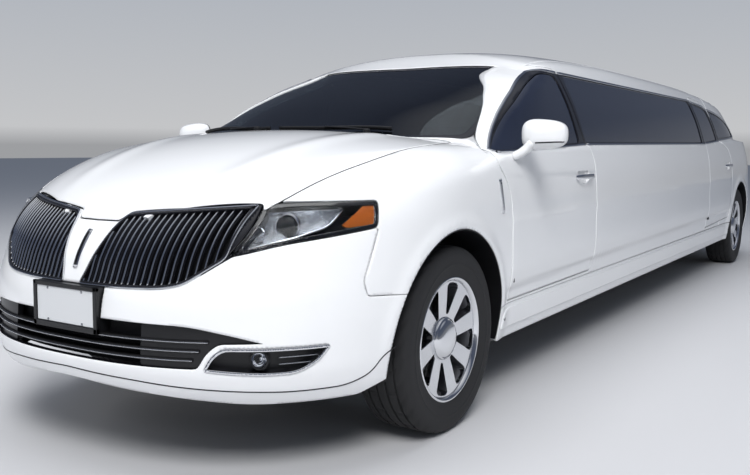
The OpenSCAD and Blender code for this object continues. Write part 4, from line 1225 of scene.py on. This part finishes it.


# chin: a fine dark strip along the lower nose, painted shade of a groove that is not modelled
chin_top = flat_key(g_map, ("A", 0, 363), ("A", 300, 353), ("A", 560, 333), ("A", 740, 318),
                    ("S", F(-600), 316), ("S", F(-510), 345), ("S", F(-462), 405), ("S", F(-402), 425))
chin_top = [(0.0, chin_top[0][1])] + chin_top[1:]
line = rounded([q + (60,) for q in [(-q[0], q[1]) for q in reversed(chin_top[1:])] + chin_top],
               closed=False)
place(strip("chin_groove_painted_shade", g_map, line, 5, 3, SOOT, 0.2), BODY)

# window strips
s1 = strip("left_front_side_belt_strip", SIDE, [(F(430), 1104), (F(1500), 1141), (F(1582), 1144)], 15, 7,
           CHROME, 1.0)
pair_plain(s1, "left_front_side_door", "right_front_side_door")
arc = rounded([(F(424), 1108), (F(560), 1196, 60), (F(748), 1320, 100), (F(1040), 1460, 100),
               (F(1262), 1532, 90), (F(1400), 1531, 60), (F(1474), 1530)], closed=False)
s2 = strip("left_front_side_top_strip", SIDE, arc, 17, 7, CHROME, 1.0)
pair_plain(s2, "left_front_side_door", "right_front_side_door")
s3 = strip("left_long_belt_strip", SIDE, [(F(1606), 1144), (R(-1500), 1168), (R(-1454), 1169.4)], 15, 7,
           CHROME, 1.0, 60)
s4 = strip("left_long_top_strip", SIDE, [(F(1496), 1530), (R(-1456), 1532)], 17, 7, CHROME, 1.0, 60)
pair_plain(join([s3, s4], "left_long_strips"), BODY)
s5 = strip("left_rear_side_belt_strip", SIDE, [(R(-1432), 1171), (R(-816), 1196)], 15, 7, CHROME, 1.0)
s6 = strip("a", SIDE,
           rounded([(R(-1438), 1525), (R(-1010), 1503, 60), (R(-935), 1485, 40), (R(-900), 1475)],
                              closed=False), 17, 7, CHROME, 1.0)
pair_plain(join([s5, s6], "left_rear_side_strips"), "left_rear_side_door", "right_rear_side_door")
u_line = rounded([(R(-792), 1202), (R(-420), 1220, 200), (R(80), 1243, 90), (R(172), 1280, 26),
                  (R(-110), 1388, 200), (R(-480), 1452, 200), (R(-866), 1482)], closed=False)
pair_plain(strip("left_quarter_strip", SIDE, u_line, 15, 7, CHROME, 1.0), BODY)

# door handles
for name, mid, body, opposite in (("left_front_side", F(1440), "left_front_side_door",
                                   "right_front_side_door"),
                                  ("left_rear_side", R(-640), "left_rear_side_door",
                                   "right_rear_side_door")):
    yy = np.linspace(mid - 128, mid + 128, 30)
    p = SIDE.solid(np.stack([yy, np.full(30, 974.0)], 1))
    n = normals(p)
    rise = 3 + 21 * np.clip(np.sin(np.linspace(0, np.pi, 30)) * 2.2, 0, 1)
    bar = sweep(name + "_handle", p + n * rise[:, None], n, oval(25, 11, 14), (CHROME,))
    pair_plain(bar, body, opposite)
    p = SIDE.solid(np.array([[mid + 142, 974.0]]))
    lock = lathe(name + "_lock", [(0.01, 3), (7, 2.8), (9, 0), (9, -6)], (SATIN,), p[0], "x", 24)
    pair_plain(lock, body, opposite)

# fender ornament
zz = np.linspace(848, 992, 14)
p = SIDE.solid(np.stack([F(404) - (zz - 848) * 0.16, zz], 1))
n = normals(p)
pair_plain(sweep("left_fender_ornament", p + n * 1.5, n, oval(26, 9, 14), (CHROME,)), BODY)
p = SIDE.solid(np.stack([F(402.5) - (zz[1:-1] - 848) * 0.16, zz[1:-1]], 1))
n = normals(p)
pair_plain(sweep("left_fender_ornament_inset", p + n * 4.5, n, oval(13, 6, 14), (SATIN,)), BODY)

# mirrors
A, B, POWER, DOME = 104.0, 66.0, 3.0, 2.3
MIRROR_AT = np.array([1056.0, F(556), 1183.0])


def ring_at(scale, y, n=56):
    t = np.arange(n) / n * 2 * np.pi
    c, q = np.cos(t), np.sin(t)
    x = scale * A * np.sign(c) * np.abs(c) ** (2 / POWER)
    z = scale * B * np.sign(q) * np.abs(q) ** (2 / POWER)
    z = z * (1 - 0.12 * x / A)
    return np.stack([x, np.full(n, y), z], 1) + MIRROR_AT


rows = []
for t in np.linspace(0.004, 1, 16) ** 1.4:
    rows.append(ring_at((1 - (1 - t) ** DOME) ** (1 / DOME), t * 62))
rows += [ring_at(1.0, 74), ring_at(0.985, 84), ring_at(0.955, 87), ring_at(0.93, 87), ring_at(0.91, 76)]
n = 56
v = np.concatenate(rows)
f, w = [tuple(range(n))], [0]
for k in range(len(rows) - 1):
    for j in range(n):
        f.append((k * n + j, (k + 1) * n + j, (k + 1) * n + (j + 1) % n, k * n + (j + 1) % n))
        w.append(0 if k < 16 else 1)
f.append(tuple((len(rows) - 1) * n + j for j in range(n))[::-1])
w.append(2)
shell = mesh("left_mirror_shell", v, f, (PAINT, TRIM, MIRROR), w)
xs = np.linspace(-22, 96, 16)
s = ((np.abs(xs) / A) ** POWER + (36.0 / B) ** POWER) ** (1 / POWER)
s = np.minimum(s, 0.999)
yy = (1 - (1 - s ** DOME) ** (1 / DOME)) * 62
p = np.stack([xs, yy, -36 * (1 - 0.12 * xs / A)], 1) + MIRROR_AT
line = sweep("left_mirror_line", p, np.tile([0.0, -1.0, 0.0], (16, 1)), oval(7, 3, 8), (SOOT,))
path = np.array([(1012, F(602), 1150), (984, F(599), 1122), (958, F(592), 1101), (926, F(584), 1084)])
t = np.arange(24) / 24 * 2 * np.pi
foot = np.stack([42 * np.sign(np.cos(t)) * np.abs(np.cos(t)) ** 0.7,
                 20 * np.sign(np.sin(t)) * np.abs(np.sin(t)) ** 0.7], 1)
stalk = sweep("left_mirror_stalk", along(path, 10), np.tile([0.0, 0.0, 1.0], (len(along(path, 10)), 1)),
              foot, (PAINT,))
pair_plain(join([shell, stalk], "left_mirror_shell"), "left_front_side_door", "right_front_side_door",
                    ("left_mirror",), ("right_mirror",))
pair_plain(line, "left_front_side_door", "right_front_side_door")

# rockers with a raised moulding
sill = rounded([(F(437), 276, 8), (F(437), 431, 2), (R(-437), 431, 2), (R(-437), 276, 8)], step=40)
rocker = panel("left_rocker_panel", SIDE, sill, grid=40, thick=30)
pair(rocker, BODY, BODY, ("rocker_panels",), ("rocker_panels",))
mould = rounded([(F(452), 322, 20), (F(470), 398, 24), (F(540), 416, 30), (R(-470), 420, 30),
                 (R(-452), 330, 20), (R(-470), 322, 20)], step=40)
mould = panel("left_rocker_moulding", SIDE, mould, grid=40, thick=8, lift=7, edge=7, drop=6)
pair(mould, BODY, BODY)
p = SIDE.solid(np.array([[F(478), 372.0]]))
hole = lathe("left_rocker_plug", [(0.01, 0.5), (8, 0.5), (10, -2)], (SOOT,), p[0] + [7, 0, 0], "x", 24)
pair_plain(hole, BODY)

# wheel opening lips
for name, c, x_in in (("left_front", FRONT_Y, 872), ("left_rear", REAR_Y, 896)):
    t = np.linspace(-0.2, np.pi + 0.2, 90)
    outer = SIDE.solid(np.stack([c + 431.4 * np.cos(t), AXLE_Z + 6 + 431.4 * np.sin(t)], 1))
    rows = []
    for x, r in ((None, 431.4), (x_in, 431.4), (x_in, 427.5), (None, 427.5)):
        q = np.stack([outer[:, 0] - 3 if x is None else np.full(90, float(x)), c + r * np.cos(t),
                      AXLE_Z + 6 + r * np.sin(t)], 1)
        rows.append(q)
    v = np.stack(rows, 1).reshape(-1, 3)
    f = [(i * 4 + j, i * 4 + (j + 1) % 4, i * 4 + 4 + (j + 1) % 4,
          i * 4 + 4 + j) for i in range(89) for j in range(4)]
    band = mesh(name + "_arch_lip", v, f, (SOOT,), smooth=False)
    pair_plain(band, BODY)

# cowl and wipers
cowl_line = rounded(mirrored([(0, F(80)), (330, F(95)), (560, F(152)), (690, F(268)), (700, F(288)),
                              (560, F(196)), (330, F(152)), (0, F(142))]))
cowl = panel("cowl_cover", TOP, cowl_line, grid=26, thick=14, lift=-16, mats=(SOOT, TRIM), edge=2, drop=0)
place(cowl, BODY, "cowl_panel")
wipe = []
for k, (x0, y0, x1, y1, bx0, by0, bx1, by1) in enumerate(((430, 148, 180, 190, 500, 240, -60, 160),
                                                          (-160, 118, -390, 195, -120, 160, -640, 285))):
    p = TOP.solid(along([(x0, F(y0)), (x1, F(y1))], 20))
    n = normals(p)
    wipe.append(sweep(f"arm{k}", p + n * 14, n, oval(15, 8, 8), (TRIM,)))
    p = TOP.solid(along([(bx0, F(by0)), (bx1, F(by1))], 20))
    n = normals(p)
    wipe.append(sweep(f"blade{k}", p + n * 7, n,
                      np.array([(-3, -9), (3, -9), (7, 3), (4, 8), (-4, 8), (-7, 3)]), (TRIM,)))
    q = TOP.solid(np.array([(x0, F(y0))], float))[0]
    wipe.append(lathe(f"pivot{k}", [(0.01, 18), (12, 17), (16, 10), (17, -14)], (TRIM,), q, "z", 24))
place(join(wipe, "wipers"), BODY)

# ---- Wheels ----------------------------------------------------------------------------------

half = [(242, 97), (247, 103), (253, 107), (262, 109), (274, 111.5), (290, 114.5), (297, 115.6),
        (298.5, 116.9),
        (300.5, 116.9), (302, 116.2), (316, 117.2), (330, 117.0), (342, 115.4), (351, 112.0), (357, 108.0),
        (361, 103.5),
        (364.5, 98), (366.8, 91), (368.4, 82), (369.4, 70), (369.6, 67), (362.5, 65.5), (362.5, 58),
        (369.8, 56.5), (370.2, 40), (370.3, 26), (363, 24.5), (363, 17), (370.4, 15.5), (370.5, 0)]
profile = np.array(half + [(r, -a) for r, a in reversed(half[:-1])])
turns = 192
i = np.arange(turns)[:, None]
phi = i / turns * 2 * np.pi
r, a = np.broadcast_to(profile[:, 0], (turns, len(profile))).copy(), profile[:, 1][None] + 0 * i
slant = (i + np.round(np.abs(a) / 9).astype(int)) % 6
shoulder_notch = (np.abs(a) > 66) & (r > 356) & (slant == 0)
rib_notch = (np.abs(a) < 57) & (np.abs(a) > 25) & ((i + 3) % 8 == 0)
notch = shoulder_notch | rib_notch
r -= np.where(notch & (r > 363.5), 5.0, np.where(notch, 2.6, 0.0))


def tyre_mesh(name, centre):
    v = np.stack([a + centre[0], r * np.cos(phi) + centre[1], r * np.sin(phi) + centre[2]], 2).reshape(-1,
                                                                                                       3)
    k = len(profile)
    f = [(i0 * k + j, i0 * k + j + 1, (i0 + 1) % turns * k + j + 1, (i0 + 1) % turns * k + j)
         for i0 in range(turns) for j in range(k - 1)]
    o = mesh(name, v, f, (RUBBER,))
    m = o.data
    m.set_sharp_from_angle(angle=math.radians(38))
    return o


def wheel_face(name, side, centre):
    """The cast face: a dished disc with eight tapered pockets, with walls and a back."""
    rim_line = circle(0, 0, 237, 144)
    pockets = []
    for k in range(8):
        t = (k + 0.5) / 8 * 2 * math.pi + 0.2
        q = np.array(rounded([(98, -9, 6), (150, -25, 60), (211, -47, 16), (223, -24, 34), (223, 24, 34),
                              (211, 47, 16), (150, 25, 60), (98, 9, 6)], step=8))
        c, s = math.cos(t), math.sin(t)
        pockets.append(np.stack([q[:, 0] * c - q[:, 1] * s, q[:, 0] * s + q[:, 1] * c], 1))
    p, s = chain([rim_line] + pockets)
    inner = circle(0, 0, 84, 72)
    extra = circle(0, 0, 228, 144)
    p = np.concatenate([p, inner, extra])
    v, f = triangles(p, s)
    f = keep(v, f, rim_line, pockets)
    edge_lines = rim_of(f)
    rr = np.linalg.norm(v, axis=1)
    out = 73 + (rr - 84) * 0.12
    out = np.where(rr > 232, 93.0, out)
    k = len(v)
    front = np.stack([side * out, v[:, 0], v[:, 1]], 1) + centre
    grow_by = np.clip((rr - 84) / 150, 0, 1) * 22
    back = np.stack([side * (out - 26 - grow_by), v[:, 0], v[:, 1]], 1) + centre
    turned = side > 0
    ff = [tuple(t if turned else t[::-1]) for t in f] + [tuple((t + k)[::-1] if turned else t + k) for t
                                                         in f]
    ff += [((q[0], q[0] + k, q[1] + k, q[1]) if turned else (q[0], q[1], q[1] + k,
                                                             q[0] + k)) for q in edge_lines]
    o = mesh(name, np.concatenate([front, back]), ff, (ALLOY,), smooth=False)
    return soften(o, 1.6, 2, 50)


def wheel(which, side, y, wheel_body, disc_body):
    c = np.array([side * 827.5, y, AXLE_Z])
    tyre = tyre_mesh(which + "_tread", c)
    place(tyre, wheel_body, which + "_tyre")
    barrel = [(237, 93), (241, 96), (246, 99.5), (248, 103), (246, 105.5), (241, 106), (236, 103),
              (232, 96), (229, 90),
              (224, 60), (214, 20), (208, -60), (210, -88), (240, -97), (247, -103), (247, -106),
              (236, -104), (204, -92), (202, -60), (208, 20), (218, 60), (228, 88), (237, 93)]
    lines = [0] * 8 + [1] * (len(barrel) - 9)
    drum = lathe(which + "_barrel", barrel, (CHROME, BARREL), c, "x", 96, lines, sign=side)
    face = wheel_face(which + "_face", side, c)
    cap = lathe(which + "_cap",
                [(0.01, 104), (22, 103.4), (44, 101.4), (60, 97.5), (70, 92), (76, 86), (78, 83),
                                 (81, 82), (84, 79), (86, 74), (87, 62)], (CHROME,), c, "x", 72, sign=side)
    place(drum, wheel_body, which + "_rim")
    place(face, wheel_body)
    place(cap, wheel_body)
    disc = lathe(which + "_disc",
                 [(58, 14), (92, 14), (94, 15), (165, 15), (165, 5), (150, 4), (150, -1), (165, -2),
                                   (165, -8), (70, -8), (58, -8), (58, 14)], (BRAKE,), c, "x", 72,
                 sign=side)
    hub = lathe(which + "_hub", [(0.01, 50), (40, 50), (62, 46), (70, 30), (70, 15)], (IRON,), c, "x", 48,
                sign=side)
    place(join([disc, hub], which + "_disc"), wheel_body)
    t = np.linspace(math.radians(150 if y < 0 else 20), math.radians(212 if y < 0 else 82), 16)
    parts = []
    for r0, r1, a0, a1 in ((118, 182, 19, 37), (169, 182, -30, 20), (118, 182, -30, -12)):
        q = []
        for u in t:
            for rr_, aa in ((r0, a0), (r1, a0), (r1, a1), (r0, a1)):
                q.append((c[0] + side * aa, c[1] + rr_ * math.cos(u), c[2] + rr_ * math.sin(u)))
        f = [(k * 4 + j, k * 4 + (j + 1) % 4, k * 4 + 4 + (j + 1) % 4,
              k * 4 + 4 + j) for k in range(15) for j in range(4)]
        f += [(3, 2, 1, 0), tuple(15 * 4 + j for j in range(4))]
        parts.append(mesh("c", q, f, (IRON,), smooth=False))
    caliper = join(parts, which + "_caliper")
    soften(caliper, 3)
    place(caliper, disc_body)


wheel("front_left", 1, FRONT_Y, "front_left_wheel", "left_steering")
wheel("front_right", -1, FRONT_Y, "front_right_wheel", "right_steering")
wheel("rear_left", 1, REAR_Y, "rear_left_wheel", BODY)
wheel("rear_right", -1, REAR_Y, "rear_right_wheel", BODY)

# ---- Back -------------------------------------------------------------------------------------

lens = panel("left_tail_lens", TAIL_MAP, grow(tail_lamp_flat, -0.5), grid=16, thick=5, lift=0.0,
             mats=(RED, TRIM), edge=4, drop=2.5)
pair(lens, BODY, BODY)
bowl = panel("left_tail_bowl", TAIL_MAP, grow(tail_lamp_flat, 1), grid=20, thick=3, lift=-40, mats=(SOOT,),
             edge=2, drop=0)
pair(bowl, BODY, BODY)
for k, z in enumerate((915, 945, 975)):
    q = flat_key(TAIL_MAP, ("B", 715, z), ("B", 800, z + 1), ("S", R(820), z + 2), ("S", R(600), z + 4))
    o = strip(f"left_tail_line_{k}", TAIL_MAP, q, 4, 3, CHROME, 0.6, 15)
    pair_plain(o, BODY)

q = flat_key(GATE_MAP, ("B", -676, 990), ("B", -400, 996), ("B", 0, 999), ("B", 400, 996), ("B", 676, 990))
place(strip("gate_bright_bar", GATE_MAP, q, 26, 10, CHROME, 2.0, 20), "tailgate")
q = flat_key(GATE_MAP, ("B", -672, 930), ("B", 672, 930), ("B", 672, 972), ("B", -672, 972))
red_bar = panel("gate_lamp_bar", GATE_MAP, rounded(q, r=8), grid=24, thick=6, lift=3, mats=(RED, TRIM),
                edge=4, drop=2)
place(red_bar, "tailgate")
plate_set("rear_plate", TAIL - 49.5, 1, 744, 906, "tailgate")
q = flat_key(GATE_MAP, ("B", -120, 915), ("B", 120, 915))
place(strip("gate_grip", GATE_MAP, q, 18, 12, SOOT, 3.0, 20), "tailgate")
q = flat_key(TAIL_MAP, ("B", 460, 470), ("B", 640, 474), ("B", 640, 496), ("B", 460, 494))
refl = panel("left_rear_reflector", TAIL_MAP, rounded(q, r=9), grid=16, thick=6, lift=2.5,
             mats=(RED, TRIM), edge=3, drop=2)
pair(refl, BODY, BODY)
q = [(0.0, 400.0)] + flat_key(TAIL_MAP, ("B", 400, 400), ("B", 620, 392), ("B", 700, 340), ("B", 560, 300),
                              ("B", 300, 292))
q = rounded([w + (20,) for w in both(q + [(0.0, 290.0)])])
place(panel("rear_valance", TAIL_MAP, q, grid=24, thick=8, lift=2.5, mats=(SOOT, TRIM), edge=4, drop=2),
      BODY)

# ---- Cabin --------------------------------------------------------------------------------------


def cushion(name, lo, hi, lean=0.0, pivot=None, puff=12, mat=LEATHER):
    """A stuffed pad: a soft-cornered block with slightly domed faces."""
    lo, hi = np.array(lo, float), np.array(hi, float)
    size = hi - lo
    n = 9
    t = np.linspace(-1, 1, n)
    v, f = [], []
    for axis in range(3):
        for sign in (-1, 1):
            base = len(v)
            for p in t:
                for q in t:
                    w = np.zeros(3)
                    w[axis], w[(axis + 1) % 3], w[(axis + 2) % 3] = sign, p * sign, q
                    v.append(w)
            f += [(base + i * n + j, base + (i + 1) * n + j, base + (i + 1) * n + j + 1,
                   base + i * n + j + 1)
                  for i in range(n - 1) for j in range(n - 1)]
    v = np.array(v)
    round_to = np.minimum(size / 2, 46.0)
    p = v * (size / 2)
    core = np.clip(p, -(size / 2 - round_to), size / 2 - round_to)
    d = p - core
    length = np.linalg.norm(d / round_to, axis=1)
    big = np.max(np.abs(d / round_to), axis=1)
    scale = np.where(length > 1e-6, big / np.maximum(length, 1e-6), 1.0)
    p = core + d * scale[:, None]
    p[:, 2] += puff * (p[:, 2] > 0) * np.clip(1 - (p[:, 0] / size[0] * 2) ** 2, 0,
                                              1) * np.clip(1 - (p[:, 1] / size[1] * 2) ** 2, 0, 1)
    p = p + (lo + hi) / 2
    if lean:
        pv = np.array(pivot, float)
        q = p - pv
        c, s = math.cos(math.radians(lean)), math.sin(math.radians(lean))
        p = np.stack([q[:, 0], q[:, 1] * c - q[:, 2] * s, q[:, 1] * s + q[:, 2] * c], 1) + pv
    o = mesh(name, p, f, (mat,))
    bm = bmesh.new()
    bm.from_mesh(o.data)
    bmesh.ops.remove_doubles(bm, verts=bm.verts, dist=0.0002)
    bmesh.ops.recalc_face_normals(bm, faces=bm.faces)
    bm.to_mesh(o.data)
    bm.free()
    o.data.polygons.foreach_set("use_smooth", [True] * len(o.data.polygons))
    return o


def chair(prefix, x, y, w):
    """Seat base, cushion, leaning back and headrest."""
    place(block(prefix + "_plinth", (x - w / 2 + 40, y + 30, 301), (x + w / 2 - 40, y + 500, 430), (TRIM,),
                8), BODY)
    place(cushion(prefix + "_cushion", (x - w / 2 + 2, y + 2, 425), (x + w / 2 - 2, y + 516, 612)), BODY)
    pivot = (x, y + 500, 572)
    place(cushion(prefix + "_back", (x - w / 2 + 14, y + 504, 576), (x + w / 2 - 14, y + 616, 1060),
                  lean=14, pivot=pivot, puff=4), BODY)
    place(cushion(prefix + "_headrest", (x - 130, y + 512, 1072), (x + 130, y + 600, 1205), lean=14,
                  pivot=pivot, puff=3),
          BODY)


chair("driver_seat", 380, F(980), 520)
chair("passenger_seat", -380, F(980), 520)
P_Y = F(1760)
wall = block("partition", (-768, P_Y, 302), (768, P_Y + 38, 1248), (WOOD, ), 6)
place(wall, BODY, "cabin_furniture")
L0, L1 = P_Y + 700, R(-1500)
place(block("couch_base", (-828, L0 + 2, 302), (-345, L1 - 2, 440), (TRIM,), 6), BODY)
count = 5
step = (L1 - L0) / count
for k in range(count):
    a, b = L0 + k * step + 3, L0 + (k + 1) * step - 3
    place(cushion(f"couch_cushion_{k}", (-828, a, 436), (-332, b, 618)), BODY)
    place(cushion(f"couch_back_{k}", (-829, a, 612), (-702, b, 898), puff=3), BODY)
place(block("bar_cabinet", (484, L0 + 2, 302), (798, R(-2202), 862), (WOOD,), 6), BODY)
place(block("bar_top", (482, L0 + 1, 862), (799, R(-2201), 879), (GLOSS,), 3), BODY)
chair("rear_bench_left", 250, R(-700), 496)
chair("rear_bench_right", -250, R(-700), 496)

D_Y = F(500) + 1
dash = block("dashboard_lower", (-738, D_Y, 702), (738, D_Y + 230, 870), (TRIM,), 26)
place(dash, BODY, "dashboard")
place(block("dashboard_top", (-739, D_Y, 850), (739, D_Y + 286, 952), (LINING,), 34), BODY)
place(block("instrument_hood", (210, D_Y + 120, 900), (550, D_Y + 289, 959), (TRIM,), 18), BODY)
place(block("centre_screen", (-110, D_Y + 270, 800), (110, D_Y + 289, 925), (GLOSS,), 5), BODY)
vents = [block("v", (x - 60, D_Y + 280, 872), (x + 60, D_Y + 288.5, 912), (SATIN,),
               4) for x in (-640, -200, 160, 655)]
place(join(vents, "dash_vents"), BODY)
place(block("centre_console", (-110, D_Y + 200, 301), (110, F(1480), 590), (TRIM,), 22), BODY)
tilt = Matrix.Translation((0.380, (D_Y + 280) / 1000, 0.880)) @ Matrix.Rotation(math.radians(-65), 4, "X")
t = np.arange(72) / 72 * 2 * np.pi
ring_path = np.stack([178 * np.cos(t), 178 * np.sin(t), np.full(72, 105.0)], 1)
rim_w = sweep("steering_rim", ring_path, np.tile([0.0, 0.0, 1.0], (72, 1)), oval(29, 29, 16), (LEATHER,),
              closed=True)
hub_w = lathe("b", [(0.01, 118), (44, 115), (62, 104), (58, 92), (30, 84), (22, 60), (22, -18)], (TRIM,),
              axis="z", steps=48)
arms = [sweep("c", np.array([(50 * math.cos(u), 50 * math.sin(u), 102),
                             (172 * math.cos(u), 172 * math.sin(u), 104)]),
              np.tile([0.0, 0.0, 1.0], (2, 1)), oval(38, 14, 12), (SATIN,)) for u in (0, math.pi,
                                                                                      -math.pi / 2)]
steer = join([rim_w, hub_w] + arms, "steering_wheel")
steer.data.transform(tilt)
place(steer, BODY)
place(block("cabin_carpet", (-840, F(505), 300.5), (840, R(-480), 304), (CARPET,)), BODY)

# ---- Finishes of the plain pieces ------------------------------------------------------------

DRESS = {"floor_pan": TRIM, "wheel_liners": SOOT, "front_subframe": STEEL, "rear_axle": STEEL,
         "exhaust": BRAKE,
         "hinges": STEEL, "engine_block": IRON, "left_knuckle": IRON, "right_knuckle": IRON}
for node, mat in DRESS.items():
    data = frame["nodes"][node].data
    data.materials.clear()
    data.materials.append(mat)


# ---- Studio ------------------------------------------------------------------------------

scene = bpy.context.scene
EYE_AT = (2.458, -6.001, 1.123)
YAW_PITCH_ROLL = (122.25, -4.97, 0.41)


def facing(right, up, look, at):
    """The placement of a camera or lamp that looks along look."""
    rows = [(right[i], up[i], -look[i], at[i]) for i in range(3)]
    return Matrix(rows + [(0, 0, 0, 1)])


cam = bpy.data.cameras.new("camera")
eye = bpy.data.objects.new("camera", cam)
bpy.context.collection.objects.link(eye)
yaw, pitch, roll = (math.radians(q) for q in YAW_PITCH_ROLL)
look = np.array([math.cos(pitch) * math.cos(yaw), math.cos(pitch) * math.sin(yaw), math.sin(pitch)])
right = np.cross(look, (0, 0, 1))
right /= np.linalg.norm(right)
up = np.cross(right, look)
right, up = math.cos(roll) * right + math.sin(roll) * up, math.cos(roll) * up - math.sin(roll) * right
eye.matrix_world = facing(right, up, look, EYE_AT)
cam.sensor_width = 36
cam.lens = 40.68
cam.shift_x, cam.shift_y = -9.1 / 750, -16.8 / 750
cam.clip_end = 200
scene.camera = eye

floor = bpy.data.meshes.new("studio_floor")
floor.from_pydata([(-60, -60, 0), (60, -60, 0), (60, 60, 0), (-60, 60, 0)], [], [(0, 1, 2, 3)])
floor.materials.append(material("pale_floor", (0.50, 0.50, 0.51), 1.0, Specular_IOR_Level=0.0))
scene.view_settings.view_transform = "Standard"
scene.view_settings.exposure = -0.55
floor = bpy.data.objects.new("studio_floor", floor)
bpy.context.collection.objects.link(floor)

world = bpy.data.worlds.new("studio")
scene.world = world
world.use_nodes = True
nodes, links = world.node_tree.nodes, world.node_tree.links
back = nodes["Background"]
coords = nodes.new("ShaderNodeTexCoord")
height = nodes.new("ShaderNodeSeparateXYZ")
links.new(coords.outputs["Generated"], height.inputs[0])


def gradient(shader, *stops):
    """Colours a background by height; each stop is a height and a colour, the ends come first."""
    ramp_node = nodes.new("ShaderNodeValToRGB")
    marks = ramp_node.color_ramp.elements
    for i, (level, colour) in enumerate(stops):
        mark = marks[i] if i < 2 else marks.new(level)
        mark.position, mark.color = level, (*colour, 1)
    links.new(height.outputs["Z"], ramp_node.inputs[0])
    links.new(ramp_node.outputs["Color"], shader.inputs["Color"])


gradient(back, (0.0, (0.55, 0.56, 0.58)), (1.0, (0.30, 0.36, 0.48)), (0.02, (0.9, 0.91, 0.93)),
         (0.25, (0.62, 0.68, 0.78)), (0.6, (0.40, 0.46, 0.58)))
back.inputs["Strength"].default_value = 0.9
# what glossy surfaces mirror is darker than what lights the room
shine = nodes.new("ShaderNodeBackground")
gradient(shine, (0.0, (0.30, 0.30, 0.31)), (1.0, (1.0, 1.0, 1.0)), (0.02, (0.32, 0.33, 0.36)),
         (0.2, (0.13, 0.15, 0.20)), (0.62, (0.10, 0.12, 0.18)), (0.9, (0.75, 0.78, 0.85)))
path_kind = nodes.new("ShaderNodeLightPath")
blend = nodes.new("ShaderNodeMixShader")
links.new(path_kind.outputs["Is Glossy Ray"], blend.inputs[0])
links.new(back.outputs[0], blend.inputs[1])
links.new(shine.outputs[0], blend.inputs[2])
links.new(blend.outputs[0], nodes["World Output"].inputs[0])


def area_light(name, at, to, size, power):
    d = bpy.data.lights.new(name, "AREA")
    d.shape, d.size, d.size_y = "RECTANGLE", size[0], size[1]
    d.energy = power
    o = bpy.data.objects.new(name, d)
    bpy.context.collection.objects.link(o)
    at, to = np.array(at, float), np.array(to, float)
    f = to - at
    f /= np.linalg.norm(f)
    r = np.cross(f, (0, 0, 1))
    r /= np.linalg.norm(r)
    u = np.cross(r, f)
    o.matrix_world = facing(r, u, f, at)
    return o


area_light("key_light", (5, -9, 8), (0.5, -2, 0.6), (4, 4), 1500)
area_light("top_light", (0, -1, 9), (0, 0, 0), (6, 12), 900)
area_light("fill_light", (-8, -7, 4), (0, -2, 0.6), (5, 4), 350)

for o in bpy.data.objects:
    if o.type == "LIGHT":
        o.visible_glossy = False
